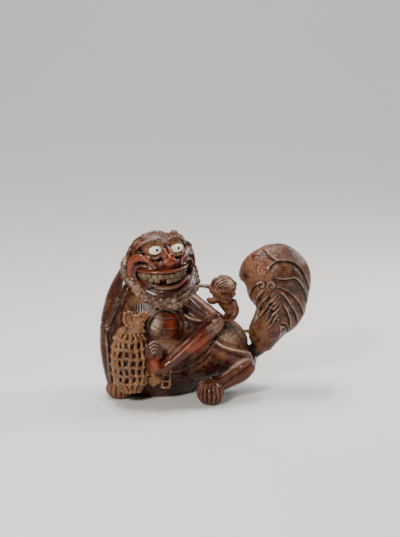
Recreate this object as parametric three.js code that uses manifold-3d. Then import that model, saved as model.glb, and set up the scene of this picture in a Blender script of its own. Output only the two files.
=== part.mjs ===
// A crouching lion carved from bamboo root. It turns its grinning head, holds a net ball under one paw,
// and carries a cub on that elbow. Its eyes are inlaid discs with pegs for pupils.
// Millimetres, +Z up. +X runs from the chest to the tail, and the front of the carving faces -Y.
import * as THREE from 'three';
import { LoftGeometry } from 'three/addons/geometries/LoftGeometry.js';
import { ParametricGeometry } from 'three/addons/geometries/ParametricGeometry.js';
import { mergeVertices } from 'three/addons/utils/BufferGeometryUtils.js';
import Module from 'manifold-3d';

const wasm = await Module();
wasm.setup();

// Driving dimensions
const CENTRE = [0.15, -1.42];
const HEAD = { at: [-35.5, 2, 99], yaw: 22, pitch: -4, roll: -4, halfWidth: 24.5, halfDepth: 22, halfHeight: 24 };
const EYE = { apart: 17, up: 12.5, forward: 19.2, halfWidth: 5, halfHeight: 3.8, thick: 2.4, cast: 1 };
const PUPIL = { radius: 1.1, thick: 1.1 };
const GAP = 0.3;
const BALL = { at: [-54.8, -27, 32.5], halfWidth: 14.4, halfDepth: 13, halfHeight: 25, pitDepth: 3, columns: 10, rows: 7 };
const TAIL = { y: 13, depthShare: 0.72 };
const CUB_HEAD = { at: [13, -6, 81.5], radius: 10 };

const FRONT = new THREE.Vector3(0, -1, 0);
const UP = new THREE.Vector3(0, 0, 1);
const degrees = THREE.MathUtils.degToRad;
const vector = ([x, y, z]) => new THREE.Vector3(x, y, z);

// A geometry as a solid that can be joined and cut.
function solid(geometry) {
  const bare = new THREE.BufferGeometry().setAttribute('position', geometry.attributes.position);
  if (geometry.index) bare.setIndex(geometry.index);
  const merged = mergeVertices(bare, 1e-3);
  const corners = Array.from(merged.index.array);
  const kept = [];
  for (let i = 0; i < corners.length; i += 3) {
    const [a, b, c] = corners.slice(i, i + 3);
    if (a !== b && b !== c && c !== a) kept.push(a, b, c);
  }
  return new wasm.Manifold(new wasm.Mesh({
    numProp: 3,
    vertProperties: merged.attributes.position.array,
    triVerts: new Uint32Array(kept),
  }));
}

// A solid as a geometry with flat faces.
function geometryOf(manifold) {
  const mesh = manifold.getMesh();
  const geometry = new THREE.BufferGeometry()
    .setAttribute('position', new THREE.BufferAttribute(mesh.vertProperties, mesh.numProp))
    .setIndex(new THREE.BufferAttribute(mesh.triVerts, 1));
  geometry.computeVertexNormals();
  return geometry;
}

const joined = (solids) => solids.reduce((all, one) => all.add(one));

// The solid without the small pockets that stay closed where its forms overlap.
function withoutPockets(whole) {
  const shells = solid(geometryOf(whole)).decompose();
  return shells.reduce((most, one) => (one.volume() > most.volume() ? one : most));
}

// The ring of points round a centreline: an ellipse whose long way lies across the line as seen from `facing`.
function ring(centre, along, across, deep, facing, sides) {
  const side = new THREE.Vector3().crossVectors(facing, along).normalize();
  const depth = new THREE.Vector3().crossVectors(along, side).normalize();
  return Array.from({ length: sides }, (_, i) => {
    const turn = (i / sides) * 2 * Math.PI;
    return centre.clone()
      .addScaledVector(side, across * Math.cos(turn))
      .addScaledVector(depth, deep * Math.sin(turn));
  });
}

// A rounded form along a smooth line through stations [x, y, z, half across, half deep]. Its ends are domes.
function limb(stations, { sides = 8, steps = 5, facing = FRONT, dome = 0.7, domeSteps = 1 } = {}) {
  const line = new THREE.CatmullRomCurve3(stations.map(vector));
  const girth = new THREE.CatmullRomCurve3(stations.map((s) => new THREE.Vector3(s[3], s[4] ?? s[3], 0)));
  const sections = [];
  const cap = (t, outward) => {
    const { x: across, y: deep } = girth.getPoint(t);
    const along = line.getTangent(t);
    return Array.from({ length: domeSteps }, (_, i) => {
      const rise = ((i + 1) / (domeSteps + 0.25)) * Math.PI / 2;
      const reach = outward * dome * Math.min(across, deep) * Math.sin(rise);
      const centre = line.getPoint(t).addScaledVector(along, reach);
      return ring(centre, along, across * Math.cos(rise), deep * Math.cos(rise), facing, sides);
    });
  };
  sections.push(...cap(0, -1).reverse());
  for (let i = 0; i <= steps; i++) {
    const t = i / steps;
    const { x: across, y: deep } = girth.getPoint(t);
    sections.push(ring(line.getPoint(t), line.getTangent(t), across, deep, facing, sides));
  }
  sections.push(...cap(1, 1));
  return new LoftGeometry(sections, { capStart: true, capEnd: true });
}

function lump(at, [rx, ry, rz], { sides = 10, rows = 6 } = {}) {
  return new THREE.SphereGeometry(1, sides, rows)
    .rotateX(Math.PI / 2)
    .scale(rx, ry, rz)
    .translate(...at);
}

// A snail curl of hair: a low round boss with a dimple, facing `outward`.
function curl(at, outward, radius, { sides = 6, height = 0.45 } = {}) {
  const rise = radius * height;
  const profile = [[0, -rise], [radius, -rise * 0.2], [radius * 0.55, rise], [0, rise * 0.4]];
  const turned = new THREE.LatheGeometry(profile.map(([r, h]) => new THREE.Vector2(r, h)), sides);
  const stand = new THREE.Quaternion().setFromUnitVectors(new THREE.Vector3(0, 1, 0), outward.clone().normalize());
  return turned.applyQuaternion(stand).translate(at.x, at.y, at.z);
}

// Places a geometry made in the head's own frame: x to its left cheek, -y out of its nose, z up.
const headFrame = new THREE.Matrix4().makeTranslation(...HEAD.at).multiply(
  new THREE.Matrix4().makeRotationFromEuler(
    new THREE.Euler(degrees(HEAD.pitch), degrees(HEAD.roll), degrees(HEAD.yaw), 'ZYX'),
  ),
);
const onHead = (geometry) => solid(geometry.applyMatrix4(headFrame));

function torso() {
  const chest = limb([
    [-37, 12, 2, 29, 17], [-37, 6, 12, 35, 25], [-38, 2, 34, 38, 31], [-39, 2, 52, 34.5, 30],
    [-38.5, 3, 68, 29, 27], [-37.5, 4, 84, 24, 22], [-37, 4, 94, 20, 19],
  ], { sides: 13, steps: 6 });
  const flank = lump([-9, -3, 57], [19, 17, 15], { sides: 9, rows: 5 });
  const rump = limb([
    [-24, 8, 34, 31, 29], [-4, 9, 34, 28, 29], [12, 9, 31, 24, 26], [24, 9, 23, 16, 20], [31, 8, 20, 11, 13],
  ], { sides: 11, steps: 4 });
  return [chest, flank, rump].map(solid);
}

// A paw: an ellipsoid whose surface is scalloped into narrow toes that fan out from its top.
function paw(at, [rx, ry, rz], toes, { rows = 4, depth = 0.13 } = {}) {
  const surface = (u, v, target) => {
    const turn = u * 2 * Math.PI;
    const rise = (v - 0.5) * Math.PI;
    const scallop = 1 - (Math.round(u * 2 * toes) % 2) * depth * Math.sin(v * Math.PI);
    const across = Math.cos(rise) * scallop;
    target.set(at[0] - Math.sin(turn) * across * rx, at[1] + Math.cos(turn) * across * ry, at[2] + Math.sin(rise) * rz);
  };
  return new ParametricGeometry(surface, 2 * toes, rows);
}

function hindLeg() {
  const thigh = limb([[0, -5, 43, 18, 19], [10, -9, 40, 16, 17], [20, -12, 34, 12, 12], [28, -13, 27, 8.5, 9]],
    { sides: 10, steps: 3 });
  const shin = limb([[31, -13.5, 24.5, 7.4, 7.5], [26, -17, 20, 7.4, 7], [17, -21.5, 16, 6.4, 6.5], [8, -26, 12, 5.5, 6]],
    { sides: 7, steps: 4 });
  return [thigh, shin, paw([3.7, -30.5, 8.6], [10.2, 11, 9.6], 11)].map(solid);
}

// The leg on the far side, which stands upright on its paw.
function farHindLeg() {
  const leg = limb([[2, 20, 40, 16, 14], [11, 27, 31, 13, 11], [15, 31, 18, 8, 8], [13, 32, 8, 7, 7]],
    { sides: 9, steps: 4 });
  return [leg, paw([12, 31, 6.6], [9.6, 10, 7.6], 7)].map(solid);
}

function forelegs() {
  const farUpper = limb([[-60, 1, 80, 9, 12], [-67, -1, 66, 9, 12], [-71, -3, 55, 7.8, 10]], { sides: 7, steps: 3 });
  const farLower = limb([[-72.5, -5, 52, 6.3, 9], [-73, -8, 36, 5.8, 8], [-70, -11, 20, 6, 8], [-65, -13, 9, 8, 8]],
    { sides: 7, steps: 4 });
  const farPaw = paw([-64, -14.5, 6.6], [10.4, 10.5, 7.6], 8);
  const nearUpper = limb([[-24, -8, 78, 9, 10], [-12, -14, 74.5, 7, 9], [-1, -19, 67.5, 6, 8], [8, -22, 62, 5.6, 7]],
    { sides: 7, steps: 3 });
  const nearLower = limb([
    [9, -22.5, 61, 5.8, 7], [2, -25, 53.5, 6.3, 8], [-8, -28, 46, 6.8, 8], [-19, -31.5, 37, 6.3, 7],
    [-30, -35, 29.5, 4.8, 6],
  ], { sides: 7, steps: 4 });
  const hand = limb([[-31, -35.5, 29, 4.8, 6], [-36, -37.5, 29.5, 5, 6], [-38, -38, 36, 4.8, 6], [-37.5, -37, 42, 4.4, 5]],
    { sides: 7, steps: 3 });
  return [farUpper, farLower, farPaw, nearUpper, nearLower, hand].map(solid)
    .concat(solid(fingers()));
}

// The fingers, which arch from the knuckles over the edge of the ball side by side.
function fingers() {
  return paw([0, 0, 0], [6.6, 5.6, 5.6], 8, { depth: 0.16 })
    .rotateY(degrees(102))
    .translate(-37.8, -37.4, 41.6);
}

// The raised lines of the carving: the edge of the shoulder, the fringe over the thigh and the line under the arm.
function ridges() {
  const shoulder = [[-21, -21, 74, 1.3], [-17, -25, 65.5, 1.8], [-9, -24, 60, 1.8], [1, -22, 58.5, 1.2]];
  const thigh = [[4, -24, 44, 1.2], [13, -25.5, 38.5, 1.7], [22, -23, 34.5, 1.7], [31, -17, 31.5, 1.2]];
  const belly = [[2, -22, 42, 1], [-8, -24.5, 33, 1.4], [-20, -28, 25.5, 1.4], [-30, -29.5, 21.5, 1]];
  return [shoulder, thigh, belly].map((line) => solid(limb(line, { sides: 4, steps: 4 })));
}

// A round boss on the breast, stepped by level bands.
function breast() {
  const boss = lump([-30, -25, 58.5], [12.4, 5.6, 11.4], { sides: 12, rows: 6 });
  const bands = [-5, 0, 5].map((dz) => solid(
    new THREE.BoxGeometry(30, 1.6, 0.9).translate(-30, -30.6 + Math.abs(dz) * 0.14, 58.5 + dz),
  ));
  return bands.reduce((left, band) => left.subtract(band), solid(boss));
}

// The net ball: an egg whose surface dips between narrow bars, in rows of square pits.
function netBall() {
  const { at, halfWidth, halfDepth, halfHeight, pitDepth, columns, rows } = BALL;
  const surface = (u, v, target) => {
    const pit = Math.round(u * 2 * columns) % 2 && Math.round(v * 2 * rows) % 2;
    const turn = u * 2 * Math.PI;
    const rise = (v - 0.5) * Math.PI;
    const shrink = pit ? 1 - pitDepth / halfWidth : 1;
    target.set(
      at[0] - Math.sin(turn) * Math.cos(rise) * halfWidth * shrink,
      at[1] + Math.cos(turn) * Math.cos(rise) * halfDepth * shrink,
      at[2] + Math.sin(rise) * halfHeight * (pit ? 1 - pitDepth / halfHeight : 1),
    );
  };
  return solid(new ParametricGeometry(surface, 2 * columns, 2 * rows));
}

// The ribbon tied over the ball: a knot with a scroll on each side, and its ladder-worked end beside the paw.
function ribbon() {
  const scrolls = [-1, 1].map((side) => limb([
    [-52, -29, 60, 1.8], [-52 + side * 5, -30, 62, 2], [-52 + side * 8.5, -30, 66, 1.8], [-52 + side * 6, -30.5, 69, 1.5],
    [-52 + side * 3, -30.5, 67, 1.2],
  ], { sides: 5, steps: 5 }));
  const knot = lump([-52, -29.5, 59], [5, 3.6, 5], { sides: 6, rows: 4 });
  const end = new THREE.BoxGeometry(11, 9, 15).rotateY(degrees(4)).translate(-29.5, -20.5, 17);
  const holes = [-4.4, 0, 4.4].map((dz) => solid(
    new THREE.BoxGeometry(5, 3, 2.8).rotateY(degrees(4)).translate(-27.6, -25.2, 17 + dz),
  ));
  return [...scrolls.map(solid), solid(knot), holes.reduce((left, hole) => left.subtract(hole), solid(end))];
}

function skull() {
  const { halfWidth, halfDepth, halfHeight } = HEAD;
  const cranium = lump([0, 0, 0], [halfWidth, halfDepth, halfHeight], { sides: 14, rows: 9 });
  const muzzle = lump([0, -8, -3], [21.5, 15, 12], { sides: 14, rows: 6 });
  const jaw = lump([0, -7, -12], [18.5, 13.5, 8], { sides: 12, rows: 5 });
  return [cranium, muzzle, jaw].map(onHead);
}

// A row of points on a level arc round the muzzle, from cheek to cheek: reach sideways, reach forward and height.
function arcOfFace(side, forward, rise, endRise, count) {
  return Array.from({ length: count }, (_, i) => {
    const turn = degrees((i / (count - 1) - 0.5) * 150);
    return [side * Math.sin(turn), -forward * Math.cos(turn), rise + (endRise - rise) * Math.sin(turn) ** 2];
  });
}

// A row of teeth as one band on the arc of the mouth, grooved between one tooth and the next.
function teethRow(side, forward, rise, endRise, tall, count) {
  const stops = arcOfFace(side, forward, rise, endRise, 2 * count + 1);
  const sections = stops.map(([x, y, z], i) => {
    const groove = i % 2 ? 1 : 0.93;
    const [outerX, outerY] = [x * groove, y * groove];
    const [innerX, innerY] = [x * 0.7, y * 0.7];
    return [[innerX, innerY, z - tall / 2], [innerX, innerY, z + tall / 2], [outerX, outerY, z + tall / 2],
      [outerX, outerY, z - tall / 2]].map(vector);
  });
  return new LoftGeometry(sections, { capStart: true, capEnd: true });
}

function mouth() {
  const upperLip = arcOfFace(21.5, 24.5, -1.5, 0, 7).map((p) => [...p, 1.9]);
  const lowerLip = arcOfFace(20, 22, -12.6, -7.5, 7).map((p) => [...p, 1.9]);
  const lips = [upperLip, lowerLip].map((line) => onHead(limb(line, { sides: 5, steps: 6, facing: UP })));
  const opening = onHead(lump([0, -14, -6.6], [19.5, 13, 4.4], { sides: 12, rows: 5 }));
  const teeth = [teethRow(19.2, 22.6, -4, -3, 4.4, 6), teethRow(18.2, 20.8, -8.9, -7, 4.2, 5)].map(onHead);
  return { lips, opening, teeth };
}

// The smooth rolls of the cheeks, which rise from the corners of the mouth and sweep in to the nose.
function cheeks() {
  return [-1, 1].flatMap((side) => [
    [[22, -2, -9, 2.2], [23.2, -4, -1, 3.2], [20.5, -7.5, 6, 3.7], [15.2, -14, 6.6, 3.4], [11, -19, 4.2, 2.6],
      [8.4, -22, 1.4, 1.6]],
    [[18.6, -10, -8.5, 1.4], [21.4, -8.5, -3.5, 1.9], [18.6, -12, 0.6, 1.9], [14.5, -16.5, 1.6, 1.6]],
  ].map((line) => onHead(limb(line.map(([x, y, z, r]) => [side * x, y, z, r]), { sides: 6, steps: 5 }))));
}

function noseAndBrows() {
  const bridge = limb([[0, -18.5, 16, 1.8], [0, -22, 11.5, 2.6], [0, -25, 8, 3.6], [0, -25.5, 5.5, 4]],
    { sides: 7, steps: 3 });
  const wings = [-1, 1].map((side) => lump([side * 4.8, -23, 4.4], [3, 3.4, 2.7], { sides: 6, rows: 4 }));
  const knob = lump([0, -19.5, 18.6], [2.3, 2.2, 2.6], { sides: 6, rows: 4 });
  const brows = [-1, 1].map((side) => limb([
    [side * 3.6, -20, 18.6, 1.6], [side * 9, -18.5, 20, 2.1], [side * 15, -14, 17, 1.7],
  ], { sides: 5, steps: 3 }));
  return [bridge, ...wings, knob, ...brows].map(onHead);
}

// A flat elliptical disc whose axis runs from front to back, between two depths. Its front edge can taper.
function disc(halfWidth, halfHeight, front, back, { sides = 12, taper = 1 } = {}) {
  return new THREE.CylinderGeometry(1, taper, back - front, sides)
    .scale(halfWidth, 1, halfHeight)
    .translate(0, (front + back) / 2, 0);
}

// The seat of one eye: a round mound on the face, and the recess in it that takes the disc.
function eyeSeat(side) {
  const [x, y, z] = [side * EYE.apart / 2, -EYE.forward, EYE.up];
  const mound = lump([x, y + 2.6, z], [6.6, 4, 5.4], { rows: 6 });
  const recess = disc(EYE.halfWidth + GAP, EYE.halfHeight + GAP, -10, EYE.thick + GAP).translate(x, y, z);
  return { mound: onHead(mound), recess: onHead(recess) };
}

// The curls of the mane, in rings round the back and top of the head, and those of the beard under the jaw.
function mane() {
  const curls = [];
  const rings = [{ back: 30, count: 6, size: 6.6 }, { back: 62, count: 8, size: 6.4 }, { back: 90, count: 9, size: 5.8 }];
  rings.forEach(({ back, count, size }, row) => {
    for (let i = 0; i < count; i++) {
      const turn = ((i + (row % 2) / 2) / count) * 2 * Math.PI;
      const out = new THREE.Vector3(
        Math.sin(degrees(back)) * Math.cos(turn), Math.cos(degrees(back)), Math.sin(degrees(back)) * Math.sin(turn),
      );
      const onSkull = new THREE.Vector3(out.x * HEAD.halfWidth, out.y * HEAD.halfDepth, out.z * HEAD.halfHeight);
      onSkull.addScaledVector(out, -0.9);
      if (onSkull.z > -19) curls.push(onHead(curl(onSkull, out, size)));
    }
  });
  arcOfFace(23.5, 19, -21, -13, 7).forEach(([x, y, z]) => {
    curls.push(onHead(curl(new THREE.Vector3(x, y, z), new THREE.Vector3(x, y * 1.3, -6), 5)));
  });
  return curls;
}

// Locks of the mane that hang down the back of the neck, in two rows.
function backLocks() {
  const rows = [{ z: 92, drop: 26, count: 2, spread: 9 }, { z: 76, drop: 32, count: 3, spread: 19 }];
  return rows.flatMap(({ z, drop, count, spread }, row) => Array.from({ length: count }, (_, i) => {
    const share = (2 * i) / (count - 1) - 1;
    const x = -37 + share * spread;
    const y = 5 + (row ? 26 : 21) * Math.sqrt(1 - 0.6 * share * share);
    return solid(limb([
      [x, y - 3, z, 5], [x - 2, y + 1, z - drop * 0.4, 5], [x + 1, y + 3, z - drop * 0.75, 3.6],
      [x + 4, y + 4.5, z - drop, 1.4],
    ], { sides: 5, steps: 3 }));
  }));
}

// The half widths of the tail's plume at each height: its middle in x, the height, and how far it reaches each way.
const PLUME = [[44, 33, 7.5], [46.5, 40, 12.5], [50, 48, 16.5], [54.5, 57, 17], [56, 70, 20.5], [54, 82, 24],
  [52.5, 90, 25.5], [52.5, 98, 22.5], [52, 103.5, 15]];

// The point of the plume's surface at x and z, on its front (-1) or its back (1), raised by `lift`.
function onPlume(x, z, face, lift = 0) {
  const above = Math.max(1, PLUME.findIndex((row) => row[1] >= z));
  const [low, high] = z > 103.5 ? PLUME.slice(-2) : PLUME.slice(above - 1, above + 1);
  const share = Math.min(1, Math.max(0, (z - low[1]) / (high[1] - low[1])));
  const middle = THREE.MathUtils.lerp(low[0], high[0], share);
  const half = THREE.MathUtils.lerp(low[2], high[2], share);
  const bulge = Math.sqrt(Math.max(0, 1 - ((x - middle) / half) ** 2));
  return [x, TAIL.y + face * (half * TAIL.depthShare * bulge + lift), z];
}

// The tail: a thick plume that swells as it rises, covered with locks that sweep outwards and down.
function tail() {
  const plume = limb(PLUME.map(([x, z, half]) => [x, TAIL.y, z, half, half * TAIL.depthShare]), { sides: 12, steps: 7 });
  const root = limb([[24, 14, 34, 9], [36, 14, 36, 7], [46, 13, 40, 9]], { sides: 7, steps: 3 });
  const bosses = [[43, 81], [50.5, 79], [47.5, 56]].map(([x, z]) => curl(
    vector(onPlume(x, z, -1, 0.5)), new THREE.Vector3(x < 50 ? -0.3 : 0, -1, 0.1), 3.8,
  ));
  return [plume, root, ...bosses, ...tailLocks()].map(solid);
}

// Each lock runs through four points [x, z, half width]. The back of the tail has only every second one.
function tailLocks() {
  const locks = [
    [[40, 104, 3], [56.5, 106.5, 6], [70, 100, 6], [76, 86, 3]],
    [[48, 95, 3], [63, 95, 6.2], [73, 88, 5.6], [76, 74, 3]],
    [[54, 81, 3], [65, 79.5, 5.6], [72, 72, 5], [73.5, 62, 2.6]],
    [[55, 70, 2.6], [63.5, 67, 4.8], [68.5, 60, 4.4], [69.5, 52, 2.4]],
    [[54, 58, 2.4], [60.5, 55, 4], [64.5, 50, 3.6], [64.5, 44, 2]],
  ];
  const shaped = (line, face) => limb(
    line.map(([x, z, half]) => [...onPlume(x, z, face), half, half * 0.6]),
    { sides: 5, steps: 3, facing: new THREE.Vector3(0.35, face, 0) },
  );
  return [
    ...locks.map((line) => shaped(line, -1)),
    ...locks.filter((_, i) => i % 2).map((line) => shaped(line, 1)),
  ];
}

// The cub: it stands with one foot on the lion's elbow, reaches for the mane and looks back over its shoulder.
function cub() {
  const { at: [x, y, z], radius } = CUB_HEAD;
  const head = lump([x, y, z], [radius, radius * 0.92, radius * 0.98], { sides: 10, rows: 6 });
  const muzzle = lump([x + 2, y - 6.5, z - 3], [6, 4.4, 4.2], { sides: 7, rows: 4 });
  const nose = lump([x + 2.6, y - 10.4, z - 1], [1.8, 1.6, 1.4], { sides: 5, rows: 3 });
  const body = limb([[x - 1, y + 3, z - 5, 6.4, 6], [x + 3, y + 2, z - 12, 6, 6], [x + 7, y + 1, z - 18, 5, 5.4]],
    { sides: 7, steps: 3 });
  const limbs = [
    [[x - 4, y, z - 1, 2.6], [x - 12, y + 1, z + 1.4, 1.6], [x - 25, y + 3.5, z + 1, 1.9]],
    [[x - 3, y - 2, z - 7, 3.2], [x - 8, y - 3, z - 9, 2.6], [x - 11, y - 3.5, z - 7.5, 1.8]],
    [[x + 8, y - 1, z - 11, 4], [x + 11.5, y - 2.5, z - 18, 3.4], [x + 7, y - 5, z - 22, 2.5], [x, y - 10, z - 21, 2.2],
      [x - 4, y - 14, z - 20, 2.6]],
    [[x + 7, y + 4, z - 16, 3.6], [x + 4, y + 7, z - 22, 3], [x + 1, y + 8, z - 27, 3]],
  ].map((line) => limb(line, { sides: 5, steps: 3 }));
  return [head, muzzle, nose, body, ...limbs].map(solid);
}

// The whole carving, cut flat where it stands.
function carving() {
  const { lips, opening, teeth } = mouth();
  const seats = [-1, 1].map(eyeSeat);
  let head = joined([...skull(), ...seats.map((seat) => seat.mound)]).subtract(opening);
  head = joined([head, ...lips, ...teeth, ...cheeks(), ...noseAndBrows(), ...mane()]);
  head = seats.reduce((left, seat) => left.subtract(seat.recess), head);
  const body = [...torso(), ...ridges(), breast(), ...backLocks(), ...hindLeg(), ...farHindLeg(), ...forelegs()];
  const whole = joined([...body, head, ...tail(), ...cub(), netBall(), ...ribbon()]);
  const ground = solid(new THREE.BoxGeometry(400, 400, 50).translate(0, 0, -25));
  return withoutPockets(whole.subtract(ground));
}

const wood = new THREE.MeshStandardMaterial({ name: 'bamboo_root', color: 0x5a2a17, roughness: 0.38, metalness: 0 });
const bone = new THREE.MeshStandardMaterial({ name: 'bone', color: 0xf0e6c8, roughness: 0.3, metalness: 0 });
const horn = new THREE.MeshStandardMaterial({ name: 'horn', color: 0x14100d, roughness: 0.2, metalness: 0 });

function named(name, geometry, material) {
  const mesh = new THREE.Mesh(geometry, material);
  mesh.name = name;
  mesh.position.set(-CENTRE[0], -CENTRE[1], 0);
  return mesh;
}

// One inlaid eye: the pale disc with a socket for its pupil, and the pupil's peg.
function eye(side, name) {
  const place = (geometry) => geometry
    .translate(side * EYE.apart / 2, -EYE.forward, EYE.up)
    .applyMatrix4(headFrame);
  const white = solid(disc(EYE.halfWidth, EYE.halfHeight, 0, EYE.thick, { sides: 16, taper: 0.85 }));
  const socket = solid(disc(PUPIL.radius + GAP, PUPIL.radius + GAP, -2, PUPIL.thick, { sides: 8 })
    .translate(EYE.cast, 0, 0));
  const pupil = disc(PUPIL.radius, PUPIL.radius, -GAP, PUPIL.thick - GAP, { sides: 8, taper: 0.8 })
    .translate(EYE.cast, 0, 0);
  return [
    named(`eye_${name}`, place(geometryOf(white.subtract(socket))), bone),
    named(`pupil_${name}`, place(pupil), horn),
  ];
}

const lion = new THREE.Group();
lion.add(named('lion_carving', geometryOf(carving()), wood));
lion.add(...eye(-1, 'right'), ...eye(1, 'left'));

export default lion;
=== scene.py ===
import bpy
import numpy as np
from bpy.props import FloatProperty, FloatVectorProperty, PointerProperty
from mathutils import Euler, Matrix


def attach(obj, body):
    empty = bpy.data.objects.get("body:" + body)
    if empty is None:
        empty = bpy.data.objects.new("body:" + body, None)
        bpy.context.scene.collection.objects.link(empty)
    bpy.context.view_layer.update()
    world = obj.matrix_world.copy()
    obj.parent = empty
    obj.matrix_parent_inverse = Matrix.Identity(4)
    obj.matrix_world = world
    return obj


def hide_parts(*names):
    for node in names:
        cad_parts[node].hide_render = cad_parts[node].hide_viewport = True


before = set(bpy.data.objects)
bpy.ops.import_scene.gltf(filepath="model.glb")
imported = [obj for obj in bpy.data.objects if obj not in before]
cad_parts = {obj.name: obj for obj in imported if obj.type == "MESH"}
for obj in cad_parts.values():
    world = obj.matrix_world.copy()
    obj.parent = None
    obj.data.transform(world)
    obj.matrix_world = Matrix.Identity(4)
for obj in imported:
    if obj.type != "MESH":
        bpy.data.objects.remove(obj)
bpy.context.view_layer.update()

bl_info = {
    "name": "Bamboo root lion",
    "version": (1, 0, 0),
    "blender": (4, 5, 0),
    "location": "View3D > Sidebar > Lion",
    "description": "A crouching lion carved from bamboo root, with its ball, cub and plume tail",
    "category": "Add Mesh",
}

# The carving is laid out in millimetres, +Z up, with the tail towards +X and the front towards -Y.
# OFFSET moves that layout onto the centre of the object's own box.
OFFSET = np.array([-0.15, 1.42, 0.0])
FRONT = (0.0, -1.0, 0.0)
HEAD_AT, HEAD_PITCH, HEAD_ROLL, HEAD_YAW = (-35.5, 2.0, 99.0), -4.0, -4.0, 22.0
BALL_AT, BALL_HALF = (-54.9, -27.0, 32.6), (13.2, 12.0, 24.2)
TAIL_Y, TAIL_DEPTH = 13.0, 0.72
CUB_AT = (13.0, -6.0, 81.5)
EYE_APART, EYE_FORWARD, EYE_UP = 17.0, 19.2, 12.5


# Surfaces: each maker gives a shell, which is its points, its quads and its triangles.

def unit(vectors):
    return vectors / np.maximum(np.linalg.norm(vectors, axis=-1, keepdims=True), 1e-12)


def held(values):
    """Numbers held between 0 and 1."""
    return np.clip(values, 0, 1)


def bell(values):
    """1 at 0, falling smoothly to 0 on both sides."""
    return np.exp(-values ** 2)


def circle(count):
    """Angles spaced evenly round a full turn."""
    return np.linspace(0, 2 * np.pi, count, endpoint=False)


def smooth_line(stations, count):
    """Rows of numbers, eased through the stations by cubic pieces whose slope at a station is half the step
    between its two neighbours."""
    rows = np.asarray(stations, float)
    padded = np.vstack([2 * rows[0] - rows[1], rows, 2 * rows[-1] - rows[-2]])
    place = np.linspace(0, len(rows) - 1, count)
    first = np.minimum(place.astype(int), len(rows) - 2)
    t = (place - first)[:, None]
    a, b, c, d = (padded[first + k] for k in range(4))
    return 0.5 * (2 * b + (c - a) * t + (2 * a - 5 * b + 4 * c - d) * t ** 2 + (3 * b - a - 3 * c + d) * t ** 3)


def closed_shell(grid):
    """A shell from a grid of points: each row is a ring, and the first and last rings close on their middles."""
    rows, cols = grid.shape[:2]
    points = np.vstack([grid.reshape(-1, 3), grid[0].mean(0), grid[-1].mean(0)])
    ring = np.arange(cols)
    after = (ring + 1) % cols
    row = np.arange(rows - 1)[:, None] * cols
    quads = np.stack([row + ring, row + after, row + cols + after, row + cols + ring], -1).reshape(-1, 4)
    last = (rows - 1) * cols
    start = np.stack([after, ring, np.full(cols, rows * cols)], -1)
    end = np.stack([last + ring, last + after, np.full(cols, rows * cols + 1)], -1)
    tris = np.vstack([start, end])
    a, b, c = (points[tris[:, k]] for k in range(3))
    p, q, r, s = (points[quads[:, k]] for k in range(4))
    volume = np.einsum("ij,ij->", a, np.cross(b, c)) + np.einsum("ij,ij->", p, np.cross(q, r))
    volume += np.einsum("ij,ij->", p, np.cross(r, s))
    if volume < 0:
        quads, tris = quads[:, ::-1], tris[:, ::-1]
    return points, quads, tris


def carried(stations, around=20, along=28, facing=FRONT, dome=0.7, flutes=0, flute=0.0, twist=0.0):
    """A rounded form carried along a smooth line through stations [x, y, z, half across, half deep]. Each ring is an
    ellipse across the line, whose long way is square to `facing`, and the ends close in domes. Flutes press the
    ring in by a share `flute`, by the cosine of `flutes` times the angle round it."""
    rows = [list(s) + [s[3]] * (5 - len(s)) for s in stations]
    line = smooth_line(rows, along)
    centre, half = line[:, :3], np.maximum(line[:, 3:5], 0.05)
    tangent = unit(np.gradient(centre, axis=0))
    rise = np.radians([90 - 1e-3, 72, 54, 36, 18])
    lift = dome * half.min(1)
    before = [(centre[0] - tangent[0] * lift[0] * np.sin(a), tangent[0], half[0] * np.cos(a)) for a in rise]
    behind = [(centre[-1] + tangent[-1] * lift[-1] * np.sin(a), tangent[-1], half[-1] * np.cos(a))
              for a in rise[::-1]]
    body = list(zip(centre, tangent, half))
    at, to, wide = (np.array(part) for part in zip(*(before + body + behind)))
    side = unit(np.cross(np.broadcast_to(facing, to.shape), to))
    depth = np.cross(to, side)
    turn = circle(around)
    press = 1 + flute * (np.cos(flutes * turn) - 1) / 2 if flutes else np.ones(around)
    turns = turn[None, :] + twist * np.linspace(0, 1, len(at))[:, None]
    grid = (at[:, None]
            + side[:, None] * (wide[:, :1] * np.cos(turns) * press)[..., None]
            + depth[:, None] * (wide[:, 1:] * np.sin(turns) * press)[..., None])
    return closed_shell(grid)


def lump(at, radii, around=32, rows=18, power=1.0):
    """An egg: rings of latitude of an ellipsoid. A power under 1 makes its profile fuller."""
    rise = np.linspace(-90, 90, rows + 2)[1:-1] * np.pi / 180
    turn = circle(around)
    across = np.cos(rise)[:, None] ** power
    grid = np.stack([across * np.cos(turn), across * np.sin(turn), np.sin(rise)[:, None] + 0 * turn], -1)
    return closed_shell(grid * np.asarray(radii) + np.asarray(at))


def snail(at, outward, radius, height=0.5, turns=1.6, hand=1, around=36, rows=12):
    """A snail curl: a low dome whose surface is cut by one spiral groove. The height at radius r and angle a is a
    dome less a cosine of r times `turns` plus a."""
    r = np.linspace(0.02, 1, rows)[:, None]
    a = circle(around)[None, :]
    groove = 0.5 + 0.5 * np.cos(2 * np.pi * turns * r + hand * a)
    top = height * radius * (np.sqrt(np.maximum(1 - 0.85 * r ** 2, 0)) - 0.34 * groove * (1 - r ** 6))
    normal = unit(np.asarray(outward, float))
    helper = np.array([0.0, 0.0, 1.0]) if abs(normal[2]) < 0.9 else np.array([1.0, 0.0, 0.0])
    u = unit(np.cross(helper, normal))
    v = np.cross(normal, u)
    flat = radius * r[..., None] * (np.cos(a)[..., None] * u + np.sin(a)[..., None] * v)
    front = np.asarray(at) + flat + top[..., None] * normal
    base = np.asarray(at) + flat[::-1] * 0.96 - 0.45 * radius * normal
    return closed_shell(np.concatenate([front, base]))


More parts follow.
